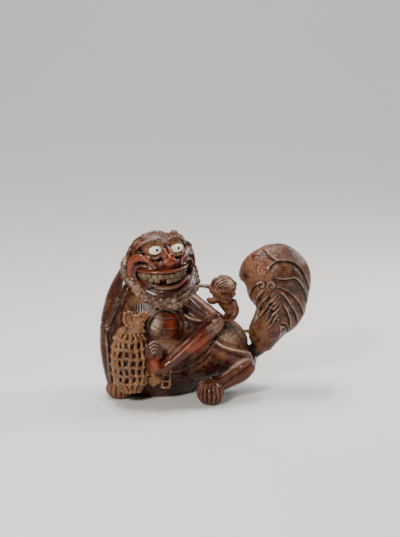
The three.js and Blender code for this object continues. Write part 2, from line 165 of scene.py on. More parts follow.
def scalloped(at, radii, toes, depth):
    """A paw: an egg whose girth dips `toes` times round, most at the middle of its height."""
    rise = np.linspace(-88, 88, 28)[:, None] * np.pi / 180
    turn = circle(toes * 12)[None, :]
    dip = 1 - depth * np.abs(np.cos(toes * turn / 2)) ** 6 * np.cos(rise) ** 0.5
    grid = np.stack([np.cos(rise) * np.cos(turn) * dip, np.cos(rise) * np.sin(turn) * dip,
                     np.sin(rise) + 0 * turn], -1)
    return closed_shell(grid * np.asarray(radii) + np.asarray(at))


HEAD_TURN = np.array(Euler(np.radians([HEAD_PITCH, HEAD_ROLL, HEAD_YAW]), "XYZ").to_matrix())


def on_head(shells):
    """Shells made in the head's own frame (x to its left cheek, -y out of its nose, z up), set on the neck."""
    return [(points @ HEAD_TURN.T + np.array(HEAD_AT), quads, tris) for points, quads, tris in shells]


# From shells to meshes.

def in_head(points):
    """Points of the layout in the head's own frame."""
    return (points - np.array(HEAD_AT)) @ HEAD_TURN


def mesh_of(name, shells):
    points, faces, count = [], [], 0
    for at, quads, tris in shells:
        points.append(at)
        faces += (quads + count).tolist() + (tris + count).tolist()
        count += len(at)
    mesh = bpy.data.meshes.new(name)
    mesh.from_pydata(((np.vstack(points) + OFFSET) * 0.001).tolist(), [], faces)
    mesh.update()
    return mesh


def piece(name, shells, material, nodes=("lion_carving",)):
    """A carved piece made of closed shells, as an object that rides with the carving."""
    obj = bpy.data.objects.new(name, mesh_of(name, shells))
    bpy.context.scene.collection.objects.link(obj)
    obj.data.shade_smooth()
    obj.data.materials.append(material)
    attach(obj, "root")
    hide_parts(*nodes)
    return obj


def fuse(obj, voxel, soften=4):
    """Melts the object's overlapping shells into one skin of squares `voxel` mm wide, then softens it."""
    melt = obj.modifiers.new("melt", "REMESH")
    melt.mode = "VOXEL"
    melt.voxel_size = voxel * 0.001
    ease = obj.modifiers.new("ease", "SMOOTH")
    ease.factor = 0.5
    ease.iterations = soften
    graph = bpy.context.evaluated_depsgraph_get()
    made = bpy.data.meshes.new_from_object(obj.evaluated_get(graph))
    old = obj.data
    obj.modifiers.clear()
    obj.data = made
    bpy.data.meshes.remove(old)
    obj.data.shade_smooth()


def places(mesh):
    """The points of a mesh in the layout's millimetres, and its normals."""
    count = len(mesh.vertices)
    at, normals = np.empty(count * 3), np.empty(count * 3)
    mesh.vertices.foreach_get("co", at)
    mesh.vertex_normals.foreach_get("vector", normals)
    return at.reshape(-1, 3) * 1000 - OFFSET, normals.reshape(-1, 3)


def move_to(mesh, points):
    mesh.vertices.foreach_set("co", ((points + OFFSET) * 0.001).ravel())
    mesh.update()


def paint(mesh, **layers):
    """Writes one number for each point under each name, for the finish to read."""
    for name, values in layers.items():
        layer = mesh.attributes.get(name) or mesh.attributes.new(name, "FLOAT", "POINT")
        layer.data.foreach_set("value", np.clip(values, -1e4, 1e4).astype(np.float32))


def neighbour_mean(mesh, values, rounds=1):
    """The mean of a number, or row of numbers, over the points joined to each point by an edge."""
    ends = np.empty(len(mesh.edges) * 2, int)
    mesh.edges.foreach_get("vertices", ends)
    a, b = ends.reshape(-1, 2).T
    count = np.bincount(a, minlength=len(values)) + np.bincount(b, minlength=len(values))
    values = np.asarray(values, float)
    flat = values.reshape(len(values), -1)
    for _ in range(rounds):
        total = np.stack([np.bincount(a, flat[b, k], len(flat)) + np.bincount(b, flat[a, k], len(flat))
                          for k in range(flat.shape[1])], 1)
        flat = 0.5 * flat + 0.5 * total / np.maximum(count, 1)[:, None]
    return flat.reshape(values.shape)


def paint_relief(mesh, sunk, gain, **layers):
    """Paints the given numbers, and the hollows and edges of the skin from how far it lies under or over its mean. The
    hollow number is painted shade; the edge number pales the colour, partly as rubbed wear and partly as painted
    highlight.
    """
    flat = np.zeros(len(mesh.vertices))
    layers = {name: flat + value for name, value in layers.items()}
    # painted shade in the hollows, and paler edges that are partly rubbed wear and partly painted highlight
    layers["hollow"] = held(sunk * gain - 0.1) + layers.get("hollow", 0)
    layers["edge"] = held(-sunk * gain - 0.12) + layers.get("edge", 0)
    paint(mesh, **layers)


def hollow_of(mesh, rounds=8):
    """How far each point lies below (above 0) or over (under 0) the mean of the skin round it, in mm."""
    at, normals = places(mesh)
    return ((neighbour_mean(mesh, at, rounds) - at) * normals).sum(1)


# The front drawing.

EYE = np.array([-4.0, -1067.3, 324.1])
TIP = np.radians(12.1)
MIDDLE = (200, 268.5)
ZOOM = 1466


def drawing(points):
    """Where points lie on the front drawing of the carving, in squares of about 0.75 mm: across from the left,
    down from the top. The drawing is a perspective from about a metre away and 12 degrees above."""
    away = points - EYE
    depth = away[:, 1] * np.cos(TIP) - away[:, 2] * np.sin(TIP)
    high = away[:, 1] * np.sin(TIP) + away[:, 2] * np.cos(TIP)
    return np.stack([MIDDLE[0] + ZOOM * away[:, 0] / depth, MIDDLE[1] - ZOOM * high / depth], 1)


def sight(marks):
    """The directions in which places on the front drawing are seen."""
    marks = np.asarray(marks, float)
    right, up = (marks[:, 0] - MIDDLE[0]) / ZOOM, (MIDDLE[1] - marks[:, 1]) / ZOOM
    return np.stack([right, np.cos(TIP) + up * np.sin(TIP), up * np.cos(TIP) - np.sin(TIP)], 1)


def at_depth(marks, y):
    """The points at depth y that are seen at places on the front drawing."""
    ray = sight(marks)
    return EYE + ray * ((y - EYE[1]) / ray[:, 1])[:, None]


def on_egg(marks, centre, radii):
    """The points, in the head's own frame, where places on the front drawing are seen on an egg round `centre`. A
    place outside the egg's outline takes the nearest point of it."""
    start = ((EYE - np.array(HEAD_AT)) @ HEAD_TURN - centre) / radii
    ray = sight(marks) @ HEAD_TURN / radii
    a, b, c = (ray ** 2).sum(1), ray @ start, (start ** 2).sum() - 1
    t = (-b - np.sqrt(np.maximum(b * b - a * c, 0))) / a
    return unit(start + t[:, None] * ray) * radii + centre


def drawn_roll(marks, radii, centre, egg, sink):
    """A roll in the head's own frame along places seen on the front drawing, sunk a little into an egg."""
    line = on_egg(marks, np.array(centre), np.array(egg) - sink)
    return np.column_stack([line, radii, radii]).tolist()


def line_gap(at, line):
    """For each point, its distance to a smooth line, which side of it the point is on, and the share along it."""
    path = smooth_line(line, 24) if len(line) > 2 else np.asarray(line, float)
    start, step = path[:-1], np.diff(path, axis=0)
    far = np.full(len(at), 1e3)
    side, along = np.ones(len(at)), np.zeros(len(at))
    low, high = path.min(0) - 16, path.max(0) + 16
    near = np.flatnonzero(((at > low) & (at < high)).all(1))
    if not len(near):
        return far, side, along
    away = at[near][:, None] - start
    t = held((away * step).sum(-1) / (step ** 2).sum(-1))
    gap = away - t[..., None] * step
    reach = np.linalg.norm(gap, axis=-1)
    best = reach.argmin(1)
    pick = np.arange(len(near))
    far[near] = reach[pick, best]
    if at.shape[1] == 2:
        side[near] = np.sign(step[best, 0] * gap[pick, best, 1] - step[best, 1] * gap[pick, best, 0])
    along[near] = (best + t[pick, best]) / len(step)
    return far, side, along


def ridge(at, line, width, fade=True):
    """1 on a smooth line, falling to 0 over `width` on each side, and fading out at its two ends."""
    gap, _, along = line_gap(at, line)
    ends = held(np.minimum(along, 1 - along) * 8) if fade else 1.0
    return bell(gap / width) * ends


def lapped(at, line, lip, under, width):
    """A lapped edge along a line: a lip on its left as it runs, and a cut of `under` below it on its right."""
    gap, side, along = line_gap(at, line)
    ends = held(np.minimum(along, 1 - along) * 6)
    signed = gap * side
    step = 1 / (1 + np.exp(-signed / 0.35))
    high = lip * np.exp(-gap / width) * (1 - step)
    low = under * np.exp(-gap / (0.6 * width)) * step
    return (high - low) * ends


def spot(at, centre, size):
    """1 at a centre, fading outwards, over an ellipse of the given half sizes."""
    return np.exp(-(((at - np.asarray(centre)) / np.asarray(size)) ** 2).sum(1))


def spots(at, *rows):
    """The sum of several spots, each a centre, its half sizes and how much it counts."""
    return sum(amount * spot(at, centre, size) for centre, size, amount in rows)


def ripple(points, scale, seed):
    """A smooth uneven field between about -1 and 1, from waves in eight fixed directions."""
    rng = np.random.default_rng(seed)
    ways = unit(rng.normal(size=(8, 3)))
    pace = rng.uniform(0.6, 1.6, 8)
    shift = rng.uniform(0, 2 * np.pi, 8)
    return np.sin(points @ ways.T * (pace * 2 * np.pi / scale) + shift).sum(1) / 3.2


# Finishes.

class Wire:
    """A socket of a node that can be used in sums: each operator adds the Math node that works it out."""

    def __init__(self, finish, socket):
        self.finish, self.socket = finish, socket

    def _math(self, operation, *values, clamp=False):
        return self.finish.node("ShaderNodeMath", {"operation": operation, "use_clamp": clamp}, values)

    def __add__(self, other):
        return self._math("ADD", self, other)

    __radd__ = __add__

    def __sub__(self, other):
        return self._math("SUBTRACT", self, other)

    def __rsub__(self, other):
        return self._math("SUBTRACT", other, self)

    def __mul__(self, other):
        return self._math("MULTIPLY", self, other)

    __rmul__ = __mul__

    def __pow__(self, other):
        return self._math("POWER", self, other)

    def clamp(self):
        return self._math("ADD", self, 0.0, clamp=True)

    def sine(self):
        return self._math("SINE", self)

    def ramp(self, low, high):
        """0 under `low`, 1 over `high`, and straight between."""
        return self.finish.node("ShaderNodeMapRange", {"clamp": True}, {0: self, 1: low, 2: high, 3: 0.0, 4: 1.0})


class Finish:
    """A material and the nodes of its surface."""

    def __init__(self, name):
        self.material = bpy.data.materials.new(name)
        self.material.use_nodes = True
        self.tree = self.material.node_tree
        self.shader = self.tree.nodes["Principled BSDF"]

    def node(self, kind, settings=None, values=(), output=0):
        made = self.tree.nodes.new(kind)
        for name, value in (settings or {}).items():
            setattr(made, name, value)
        pairs = values.items() if isinstance(values, dict) else enumerate(values)
        for key, value in pairs:
            if isinstance(value, Wire):
                self.tree.links.new(value.socket, made.inputs[key])
            elif value is not None:
                made.inputs[key].default_value = value
        return Wire(self, made.outputs[output])

    def layer(self, name):
        return self.node("ShaderNodeAttribute", {"attribute_name": name}, output="Fac")

    def where(self, scale=(1, 1, 1), turn=(0, 0, 0)):
        place = self.node("ShaderNodeTexCoord", output="Object")
        return self.node("ShaderNodeMapping", {}, {"Vector": place, "Scale": scale, "Rotation": turn})

    def noise(self, place, scale, detail=3.0, rough=0.55):
        values = {"Vector": place, "Scale": scale, "Detail": detail, "Roughness": rough}
        return self.node("ShaderNodeTexNoise", {}, values)

    def blend(self, share, a, b):
        """A colour between a and b."""
        a, b = (c if isinstance(c, Wire) else (*c, 1.0) for c in (a, b))
        return self.node("ShaderNodeMix", {"data_type": "RGBA"}, {0: share, 6: a, 7: b}, output=2)

    def finish(self, **sockets):
        for name, value in sockets.items():
            socket = self.shader.inputs[name.replace("_", " ")]
            if isinstance(value, Wire):
                self.tree.links.new(value.socket, socket)
            else:
                socket.default_value = value
        return self.material

    def bump(self, height, strength, distance):
        return self.node("ShaderNodeBump", {}, {"Strength": strength, "Distance": distance, "Height": height})


def polished_root(colours):
    """Bamboo root: dark red-brown polish, ochre where the carving is cut and dull, near black in the hollows as
    painted shade, and paler on the edges, partly rubbed wear and partly painted highlight. It reads the numbers that
    each piece carries: warm, worn, hollow, edge, comb, strand."""
    f = Finish("polished bamboo root")
    warm, worn, hollow, edge = f.layer("warm"), f.layer("worn"), f.layer("hollow"), f.layer("edge")
    comb, strand = f.layer("comb"), f.layer("strand")
    place = f.where()
    broad = f.noise(place, 55.0, 4.0)
    mid = f.noise(place, 210.0, 5.0, 0.6)
    fine = f.noise(place, 620.0, 4.0, 0.65)
    grain = f.noise(f.where((1000, 1000, 130)), 1.0, 2.0)
    pores = f.node("ShaderNodeTexVoronoi", {"feature": "F1"}, {"Vector": place, "Scale": 520.0})
    wobble = (mid - 0.5) * 3.0
    hair = (strand * 3.2 + wobble).sine() * 0.5 + 0.5
    cut = hair.ramp(0.45, 0.1) * comb
    mottle = (broad - 0.5) * 2.2
    warmth = (warm + mottle * 0.4 + (mid - 0.5) * 0.5 + (grain - 0.5) * 0.4).clamp()
    base = f.blend(warmth, colours.dark, colours.warm)
    base = f.blend((warm + (mid - 0.5) * 0.6).ramp(0.75, 1.25), base, colours.flame)
    dull = (worn + (mid - 0.5) * 2.0 + (fine - 0.5) * 0.8 + mottle * 0.25).ramp(0.25, 0.8)
    base = f.blend(dull * 0.9, base, colours.ochre)
    # Paler edges from the edge number: rubbed wear and painted highlights; over 1 it turns to cream, mostly painted
    # highlight
    base = f.blend((edge * (0.55 + (mid - 0.5) * 1.6)).clamp() * 0.75, base, colours.rubbed)
    base = f.blend(((edge - 1) * (0.7 + (mid - 0.5) * 1.4)).clamp(), base, colours.pale_wear_and_highlight)
    base = f.blend(cut * 0.7, base, colours.dust)
    speck = pores.ramp(0.3, 0.12) * worn.ramp(0.15, 0.6)
    stain = (mottle * -1.0 + (mid - 0.5) * -1.2).ramp(0.22, 0.6)
    base = f.blend((speck * 0.7 + stain * 0.55).clamp(), base, colours.deep)
    # Painted shade: near black in the hollows, read from the hollow number
    base = f.blend((hollow + (fine - 0.5) * 0.4).ramp(0.12, 0.8), base, colours.deep)
    rough = 0.22 + dull * 0.34 + cut * 0.15 + (fine - 0.5) * 0.14 + (mid - 0.5) * 0.1
    matt = worn.clamp()
    uneven = mid * (0.15 + matt * 0.5) + fine * (0.08 + matt * 0.8) + grain * 0.12
    height = uneven + (hair - 0.5) * comb * 0.9 - speck * 0.8
    normal = f.bump(height, 0.6, 0.0005)
    return f.finish(Base_Color=base, Roughness=rough.clamp(), Coat_Weight=(1 - dull) * 0.05,
                    Coat_Roughness=0.12, Specular_IOR_Level=0.32, Normal=normal)


def dull_ochre(colours):
    """The tan, unpolished surface of the net and its ribbon, dark with painted shade where it is cut deep and on the
    bars inside the ball.
    """
    f = Finish("tan cut root")
    hollow = f.layer("hollow")
    place = f.where()
    broad, fine = f.noise(place, 90.0, 4.0), f.noise(place, 520.0, 4.0, 0.65)
    grain = f.noise(f.where((1100, 1100, 260)), 1.0, 2.0)
    base = f.blend((broad * 1.6 - 0.35 + (grain - 0.5) * 0.5).clamp(), colours.tan_dark, colours.tan)
    base = f.blend((hollow + (fine - 0.5) * 0.5).ramp(0.1, 0.9), base, colours.deep)
    rough = 0.36 + (fine - 0.5) * 0.3
    normal = f.bump(fine + grain * 0.5, 0.6, 0.0003)
    return f.finish(Base_Color=base, Roughness=rough, Normal=normal)


def deep_shade(colours):
    """Painted shade: the wood inside the net and behind the teeth, coloured near black for the shade that falls there.
    """
    f = Finish("deep shade")
    fine = f.noise(f.where(), 300.0, 3.0)
    base = f.blend(fine, colours.deep, colours.dark)
    normal = f.bump(fine, 0.4, 0.0003)
    return f.finish(Base_Color=base, Roughness=0.55 + (fine - 0.5) * 0.2, Normal=normal)


def tooth_wood(colours):
    f = Finish("cut teeth")
    place = f.where()
    broad, fine = f.noise(place, 160.0, 4.0), f.noise(place, 700.0, 3.0)
    base = f.blend(broad.ramp(0.35, 0.65), colours.tooth_dark, colours.tooth)
    # Painted shade: near black where the hollow number is high, towards the back of the mouth
    base = f.blend((f.layer("hollow") + (fine - 0.5) * 0.4).ramp(0.1, 0.9), base, colours.deep)
    normal = f.bump(fine, 0.5, 0.0002)
    return f.finish(Base_Color=base, Roughness=0.36 + (fine - 0.5) * 0.3, Normal=normal)


def inlaid_bone(colours):
    f = Finish("inlaid bone")
    place = f.where()
    broad, fine = f.noise(place, 120.0, 3.0), f.noise(place, 900.0, 3.0)
    base = f.blend((broad * 0.8).clamp(), colours.bone, colours.bone_dark)
    normal = f.bump(fine, 0.15, 0.0001)
    return f.finish(Base_Color=base, Roughness=0.26 + (fine - 0.5) * 0.12, Normal=normal)


def dark_horn():
    f = Finish("dark horn")
    fine = f.noise(f.where(), 900.0, 3.0)
    base = f.blend(fine, (0.006, 0.005, 0.004), (0.03, 0.02, 0.014))
    return f.finish(Base_Color=base, Roughness=0.16 + (fine - 0.5) * 0.1, Normal=f.bump(fine, 0.1, 0.0001))


def pale_floor(stage):
    f = Finish("pale floor")
    fine = f.noise(f.where(), 4.0, 3.0)
    base = f.blend(fine, stage.floor_colour, [c * 0.97 for c in stage.floor_colour])
    return f.finish(Base_Color=base, Roughness=0.6 + (fine - 0.5) * 0.05, Normal=f.bump(fine, 0.02, 0.0002))


def finish_named(name, maker):
    """The material of that name, made when it is first asked for."""
    return bpy.data.materials.get(name) or maker(bpy.context.scene.lion_colours)


def root_finish():
    return finish_named("polished bamboo root", polished_root)


def tan_finish():
    return finish_named("tan cut root", dull_ochre)


def shade_finish():
    return finish_named("deep shade", deep_shade)


# Body, legs and arms.

def torso_shells():
    chest = carried([[-37, 12, 2, 28.5, 17], [-37, 6, 12, 34.5, 25], [-38, 2, 34, 37.5, 31], [-39, 2, 52, 34, 30],
                     [-38.5, 3, 68, 28.5, 27], [-37.5, 4, 84, 23.5, 22], [-37, 4, 94, 19, 18]], 56, 60)
    rump = carried([[-24, 8, 34, 31, 29], [-4, 9, 34, 28, 29], [12, 9, 31, 24, 26], [24, 9, 23, 16, 20],
                    [31, 8, 20, 11, 13]], 48, 40)
    return [chest, rump, lump([-9, -3, 57], [19, 17, 15])]


def leg_shells():
    thigh = carried([[0, -5, 43, 18, 19], [10, -9, 40, 16, 17], [20, -12, 34, 12, 12], [28, -13, 27, 8.5, 9]], 32, 28)
    shin = carried([[31, -13.5, 24.5, 7.4, 7.5], [26, -17, 20, 7.4, 7], [17, -21.5, 16, 6.4, 6.5],
                    [8, -26, 12, 5.5, 6]], 28, 28)
    far = carried([[2, 20, 40, 16, 14], [11, 27, 31, 13, 11], [15, 31, 18, 8, 8], [13, 32, 8, 7, 7]], 28, 28)
    return [thigh, shin, far]


def arm_shells():
    far = [carried([[-60, 1, 80, 9, 12], [-67, -1, 66, 9, 12], [-71, -3, 55, 7.8, 10]], 24, 20),
           carried([[-72.5, -5, 52, 6.3, 9], [-73, -8, 36, 5.8, 8], [-70, -11, 20, 6, 8],
                    [-65, -13, 9, 8, 8]], 24, 28)]
    upper = carried([[-24, -8, 78, 9, 10], [-12, -14, 74.5, 7, 9], [-1, -19, 67.5, 6, 8],
                     [8, -22, 62, 5.6, 7]], 28, 28)
    lower = carried([[9, -22.5, 61, 5.6, 7], [2, -25, 53.5, 6.1, 8], [-8, -28, 46, 6.7, 8], [-19, -31.5, 37, 6.2, 7],
                     [-30, -35, 29.5, 4.6, 6]], 28, 36)
    palm = carried([[-31, -35.5, 29, 4.6, 5.6], [-35.4, -37.3, 30, 4.6, 5.6], [-37.4, -38, 35, 4.4, 5.4],
                    [-37.2, -37, 40, 3.8, 4.6]], 24, 20)
    return far + [upper, lower, palm]


def mane_mass():
    """The mane at the side of the head, which falls from the cheek to the far shoulder."""
    return carried([[-53.5, 7, 106, 5, 9], [-56, 5, 93, 7.8, 12], [-60.5, 3, 81, 10, 14], [-65, 1, 69, 10.4, 13],
                    [-68.5, -1, 56, 9, 11]], 40, 50)


def toe_shells():
    """The paws that stand on the ground, each scalloped into narrow toes."""
    near_hind = scalloped([3.7, -30.5, 8.8], [10.4, 11, 9.8], 17, 0.2)
    far_hind = scalloped([12, 31, 6.8], [9.6, 10, 7.6], 13, 0.18)
    far_fore = scalloped([-64, -14.5, 6.9], [10.4, 10.8, 7.8], 14, 0.18)
    return [near_hind, far_hind, far_fore]


def above_ground(shells):
    """The shells with what would sink into the floor raised to just above it."""
    for points, _, _ in shells:
        points[:, 2] = np.maximum(points[:, 2], 0.05)
    return shells


BODY_LINES = [
    # smooth lines on the front drawing, their half width in squares, and the rise (or cut, below 0) in mm
    ([(178, 302), (180, 309), (185, 315), (194, 320), (207, 321)], 1.7, 1.3),
    ([(175, 306), (178, 314), (184, 320.5), (194, 324.5), (205, 325)], 1.0, -0.9),
    ([(173, 309), (176, 317), (182.5, 324.5), (190, 328)], 1.2, 0.6),
    ([(186, 299), (191, 305), (198, 312), (206, 316)], 3.0, -1.5),
    ([(197, 326.5), (185, 336.5), (173, 348), (165, 357)], 1.2, 0.9),
    ([(200, 330), (188, 340.5), (176, 351.5), (168, 360)], 1.0, -1.0),
    ([(203, 333.5), (191, 344), (179, 355), (170, 363)], 1.3, 0.7),
    ([(213, 347), (202, 358.5), (190, 366), (175, 371.5), (158, 374)], 1.3, 0.9),
    ([(213, 343), (202, 354.5), (190, 362), (176, 367.5), (162, 370.5)], 0.9, -0.8),
    ([(214, 351), (203, 362.5), (191, 370), (176, 375), (160, 377.5)], 1.0, -0.9),
    ([(212, 339), (221, 345), (231, 349), (243, 351.5), (253, 355)], 1.7, 1.5),
    ([(213, 343.5), (222, 350), (237, 354.5), (250, 358)], 1.3, -1.3),
    ([(215, 335), (224, 341), (236, 345), (247, 348)], 1.0, -0.7),
    ([(254, 358), (241, 367.5), (229, 375.5), (216, 383.5)], 1.2, 0.9),
    ([(255, 361.5), (242, 371), (230, 379), (219, 387)], 0.9, -0.9),
    ([(122, 303), (116, 316), (112, 328)], 1.0, -1.0),
    ([(100, 327), (106, 327.5), (111, 327)], 0.9, -0.9),
    ([(105.5, 331), (107, 347), (108.5, 366), (111.5, 386)], 1.0, 0.9),
    ([(108.5, 331), (110, 347), (111, 366), (114, 386)], 1.0, -1.0),
    ([(205, 331), (215, 325), (221.5, 319)], 1.0, -0.8),
    ([(209, 346), (214, 340), (218, 333)], 1.2, -1.1),
    ([(146.5, 334), (148, 323), (153, 314), (160.5, 309), (169.5, 309), (177.5, 314), (181.5, 324),
      (180.5, 335)], 1.2, 0.7),
    ([(148.5, 334), (149.8, 324), (154.5, 316), (161, 311.5), (169, 311.5), (175.5, 315.5), (179, 324),
      (178, 333)], 0.9, -1.0),
    ([(152, 318.5), (158, 318), (163, 320), (176, 319)], 0.8, -0.8),
    ([(150, 324.5), (156, 327.5), (164, 330.5), (178, 329.5)], 0.8, -0.8),
    ([(151, 334), (156, 338.5), (163, 339.5), (168, 340)], 0.8, -0.8),
]


def hair_strokes(points, spacing, seed):
    """Short cut strokes that run down and back over the skin: a wave across the strokes, switched on and off along
    them, bent by an uneven field."""
    bend = ripple(points, 14.0, seed) * 1.6
    across = points[:, 0] * 0.75 + points[:, 2] * 0.45 + points[:, 1] * 0.6 + bend
    down = points[:, 2] - points[:, 0] * 0.6 + ripple(points, 6.0, seed + 1)
    wave = np.cos(2 * np.pi * across / spacing)
    broken = held(np.cos(2 * np.pi * down / 6.0 + np.floor(across / spacing) * 2.1) + 0.35)
    return held(wave) ** 2 * broken


def body_relief(drawn, front):
    """The cut lines and the raised disc of the body, in mm along the normals."""
    lift = np.zeros(len(drawn))
    for line, width, rise in BODY_LINES:
        lift += rise * ridge(drawn, line, width) * front
    inside = np.hypot((drawn[:, 0] - 164.4) / 14.2, (drawn[:, 1] - 326) / 15.2)
    disc = 1 / (1 + np.exp((inside - 1) * 14)) * front
    return lift + 1.6 * disc * np.sqrt(held(1.2 - inside ** 2))


def thigh_hair(drawn):
    """1 over the short hair of the rump."""
    return held(1.4 * spot(drawn, (230, 333), (17, 13)) - 0.15)


def painted_highlights_and_rubbing(drawn):
    """Where the skin is painted pale: painted highlights, with some rubbed wear, on the near shoulder, the shin, the
    disc's shaded half and below it, and along ridges of the arms and thigh.
    """
    lines = (([(190, 292), (203, 302), (217, 314)], 3.4, 1.5), ([(218, 378), (238, 363.6), (252, 357)], 2.2, 1.8),
             ([(178, 303), (182, 311), (190, 317.6), (207, 321)], 1.2, 1.4),
             ([(213, 339), (221, 345), (231, 349), (252, 354.4)], 1.2, 1.1),
             ([(184, 340), (172, 351), (164, 358)], 1.4, 0.5), ([(106, 334), (107.6, 350), (110, 374)], 1.4, 0.5))
    pale = sum(amount * ridge(drawn, line, width) for line, width, amount in lines)
    return pale + spots(drawn, ((155, 324), (6, 9), 1.8), ((162, 347), (12, 6), 1.6), ((117, 345), (4, 20), 0.5))


def body_masks(points, drawn, front, hollow):
    """What the finish needs: where the skin is warm, worn or combed."""
    warm = 0.3 + 0.14 * ripple(points, 34.0, 3)
    worn = 0.1 + 0.16 * ripple(points, 22.0, 5)
    # The patch at (157, 326) pales the disc's left half as a painted highlight, and the one at (196, 306) darkens the
    # hollow of the upper arm as painted shade.
    patches = [((190, 349), (24, 8), 0.7, -0.4), ((205, 340), (16, 9), 0.6, -0.4), ((155, 364), (7, 9), 0.8, -0.5),
               ((250, 368), (9, 9), 0.6, -0.3), ((204, 358), (14, 8), 0.22, 0.28), ((170, 325), (6, 11), 0.7, -0.4),
               ((157, 326), (6, 12), -0.3, 0.5), ((135, 306), (16, 8), -0.35, 0.05), ((181, 335), (6, 9), -0.3, 0.0),
               ((196, 306), (14, 8), -0.25, -0.15), ((162, 349), (13, 8), -0.2, 0.9),
               ((150, 300), (30, 4), -0.1, 0.5), ((112, 312), (8, 14), 0.0, -0.1), ((118, 340), (6, 18), -0.1, 0.35),
               ((224, 358), (10, 8), -0.2, 0.25), ((186, 378), (26, 7), 0.12, -0.1),
               ((107, 352), (4, 22), -0.25, -0.1), ((232, 333), (15, 12), -0.3, 0.5), ((178, 345), (5, 6), -0.2, 0.3)]
    for centre, size, more_warm, more_worn in patches:
        here = spot(drawn, centre, size) * front
        warm += more_warm * here
        worn += more_worn * here
    worn += np.clip(hollow * 2.2, 0, 0.6)
    back = 1 - front
    worn += back * (0.02 + 0.12 * ripple(points, 12.0, 8))
    shaded = held((10 - points[:, 2]) / 12) * 0.2
    return warm, worn, shaded


class OBJECT_OT_lion_body(bpy.types.Operator):
    """Carve the chest, rump, legs and arms as one skin with its cut lines and short hair"""
    bl_idname = "object.lion_body"
    bl_label = "Body"

    def execute(self, context):
        sizes = context.scene.lion_sizes
        shells = torso_shells() + leg_shells() + arm_shells() + [mane_mass()]
        obj = piece("lion_body", above_ground(shells), root_finish())
        fuse(obj, sizes.body_skin * 1000, 5)
        points, normals = places(obj.data)
        drawn = drawing(points)
        front = held(-normals[:, 1] * 2.2 + 0.35) * held((40 - points[:, 1]) / 20)
        lift = body_relief(drawn, front)
        hair = thigh_hair(drawn) * held(front * 2)
        belly = (spot(drawn, (208, 362), (24, 13)) + spot(drawn, (180, 380), (22, 8))) * front
        rough = ripple(points, 4.2, 12) * ripple(points, 3.1, 13)
        lift += 0.5 * rough * held(hair + 0.7 * belly)
        coat = held((points[:, 1] - 2) / 10) * held((points[:, 2] - 22) / 14)
        coat = held(coat + hair)
        lift -= 0.6 * hair_strokes(points, 2.3, 11) * coat
        move_to(obj.data, points + normals * lift[:, None])
        hollow = hollow_of(obj.data)
        warm, worn, shaded = body_masks(points, drawn, front, hollow)
        chest = held(2 * spot(drawn, (132, 306), (19, 10)) * front)
        side = held(2 * ridge(drawn, [(121, 268), (114, 290), (105, 315), (103, 330)], 8.0, False)) * front
        slant = (drawn[:, 0] + 0.42 * drawn[:, 1]) * 0.75
        fall = np.where(chest > 0.3, drawn[:, 0] * 0.75, points[:, 0] * 0.7 + points[:, 2] * 0.5)
        strand = np.where(side > chest, slant, fall)
        # Edge holds the pale short hair of the rump and the painted highlights, with some rubbing, on the shoulder,
        # shin, disc and ridges; hollow holds painted shade that darkens towards the floor.
        paint_relief(obj.data, hollow, 2.4, warm=warm - 0.15 * side,
                     worn=worn + 0.1 * coat + 0.05 * side + 0.35 * hair + 0.1 * chest, hollow=shaded,
                     comb=held(0.3 * chest + 0.3 * side + coat * 0.5), strand=strand,
                     edge=1.5 * hair + painted_highlights_and_rubbing(drawn) * front)
        return {"FINISHED"}


class OBJECT_OT_lion_paws(bpy.types.Operator):
    """Cut the paws that stand on the ground and the fingers that hold the ball"""
    bl_idname = "object.lion_paws"
    bl_label = "Paws and fingers"

    def execute(self, context):
        obj = piece("lion_paws", above_ground(toe_shells()), root_finish())
        hollow = hollow_of(obj.data, 3)
        points, _ = places(obj.data)
        tan = spot(points[:, [0, 2]], (-64, 4), (14, 12))
        paint_relief(obj.data, hollow, 6.0, warm=0.45 + 0.1 * ripple(points, 8.0, 2), worn=0.3 + 0.6 * tan, comb=0,
                     strand=0)
        fingers = []
        for k in range(4):
            marks = np.array([(146.6, 354), (149, 346.4), (155, 342.8), (160, 348), (161, 357)])
            marks = (marks - (155, 360)) * (1 - 0.2 * k) + (155, 360)
            line = np.vstack([at_depth([mark], y - 0.9 * k)
                              for mark, y in zip(marks, (-40.0, -40.4, -39.4, -39.0, -38.4))])
            fingers.append(carried(np.column_stack([line, [1.4, 1.6, 1.6, 1.5, 1.3]]).tolist(), 16, 28))
        knuckles = carried(np.column_stack([at_depth([(154.6, 370), (154, 362), (154.4, 354)], -37.6),
                                            [4.2, 4.4, 3.6]]).tolist(), 24, 16)
        hand = piece("lion_fingers", fingers + [knuckles], root_finish())
        points, normals = places(hand.data)
        low = held((drawing(points)[:, 1] - 354) / 4)
        # Painted highlight on the upward faces of the fingers, and a little painted shade over them.
        paint_relief(hand.data, 0 * low, 1.0, warm=0.3 + 0.65 * low, worn=0.0, comb=0, strand=0,
                     hollow=0.15 * (1 - low), edge=(1 - low) * np.clip(normals[:, 2] * 1.6 + 0.2, 0, 1.5))
        return {"FINISHED"}


# Head.

def face_arc(side, forward, rise, end_rise, count, spread=150.0):
    """Points on a level arc round the muzzle: reach sideways, reach forward, and the height, which eases from
    `rise` in front to `end_rise` at the cheeks."""
    turn = np.radians(np.linspace(-spread / 2, spread / 2, count))
    return np.stack([side * np.sin(turn), -forward * np.cos(turn), rise + (end_rise - rise) * np.sin(turn) ** 2], 1)


def mirrored(stations, side):
    return [[side * s[0], *s[1:]] for s in stations]


CHEEK_EGG = (0, -3, -2), (23.6, 21, 21)
CHEEK_ROLL = [(131.5, 281), (130.2, 275), (130.4, 268), (133.2, 260.8), (139, 257.8), (145, 259.2), (150.4, 262.8),
              (155.4, 267.8)]


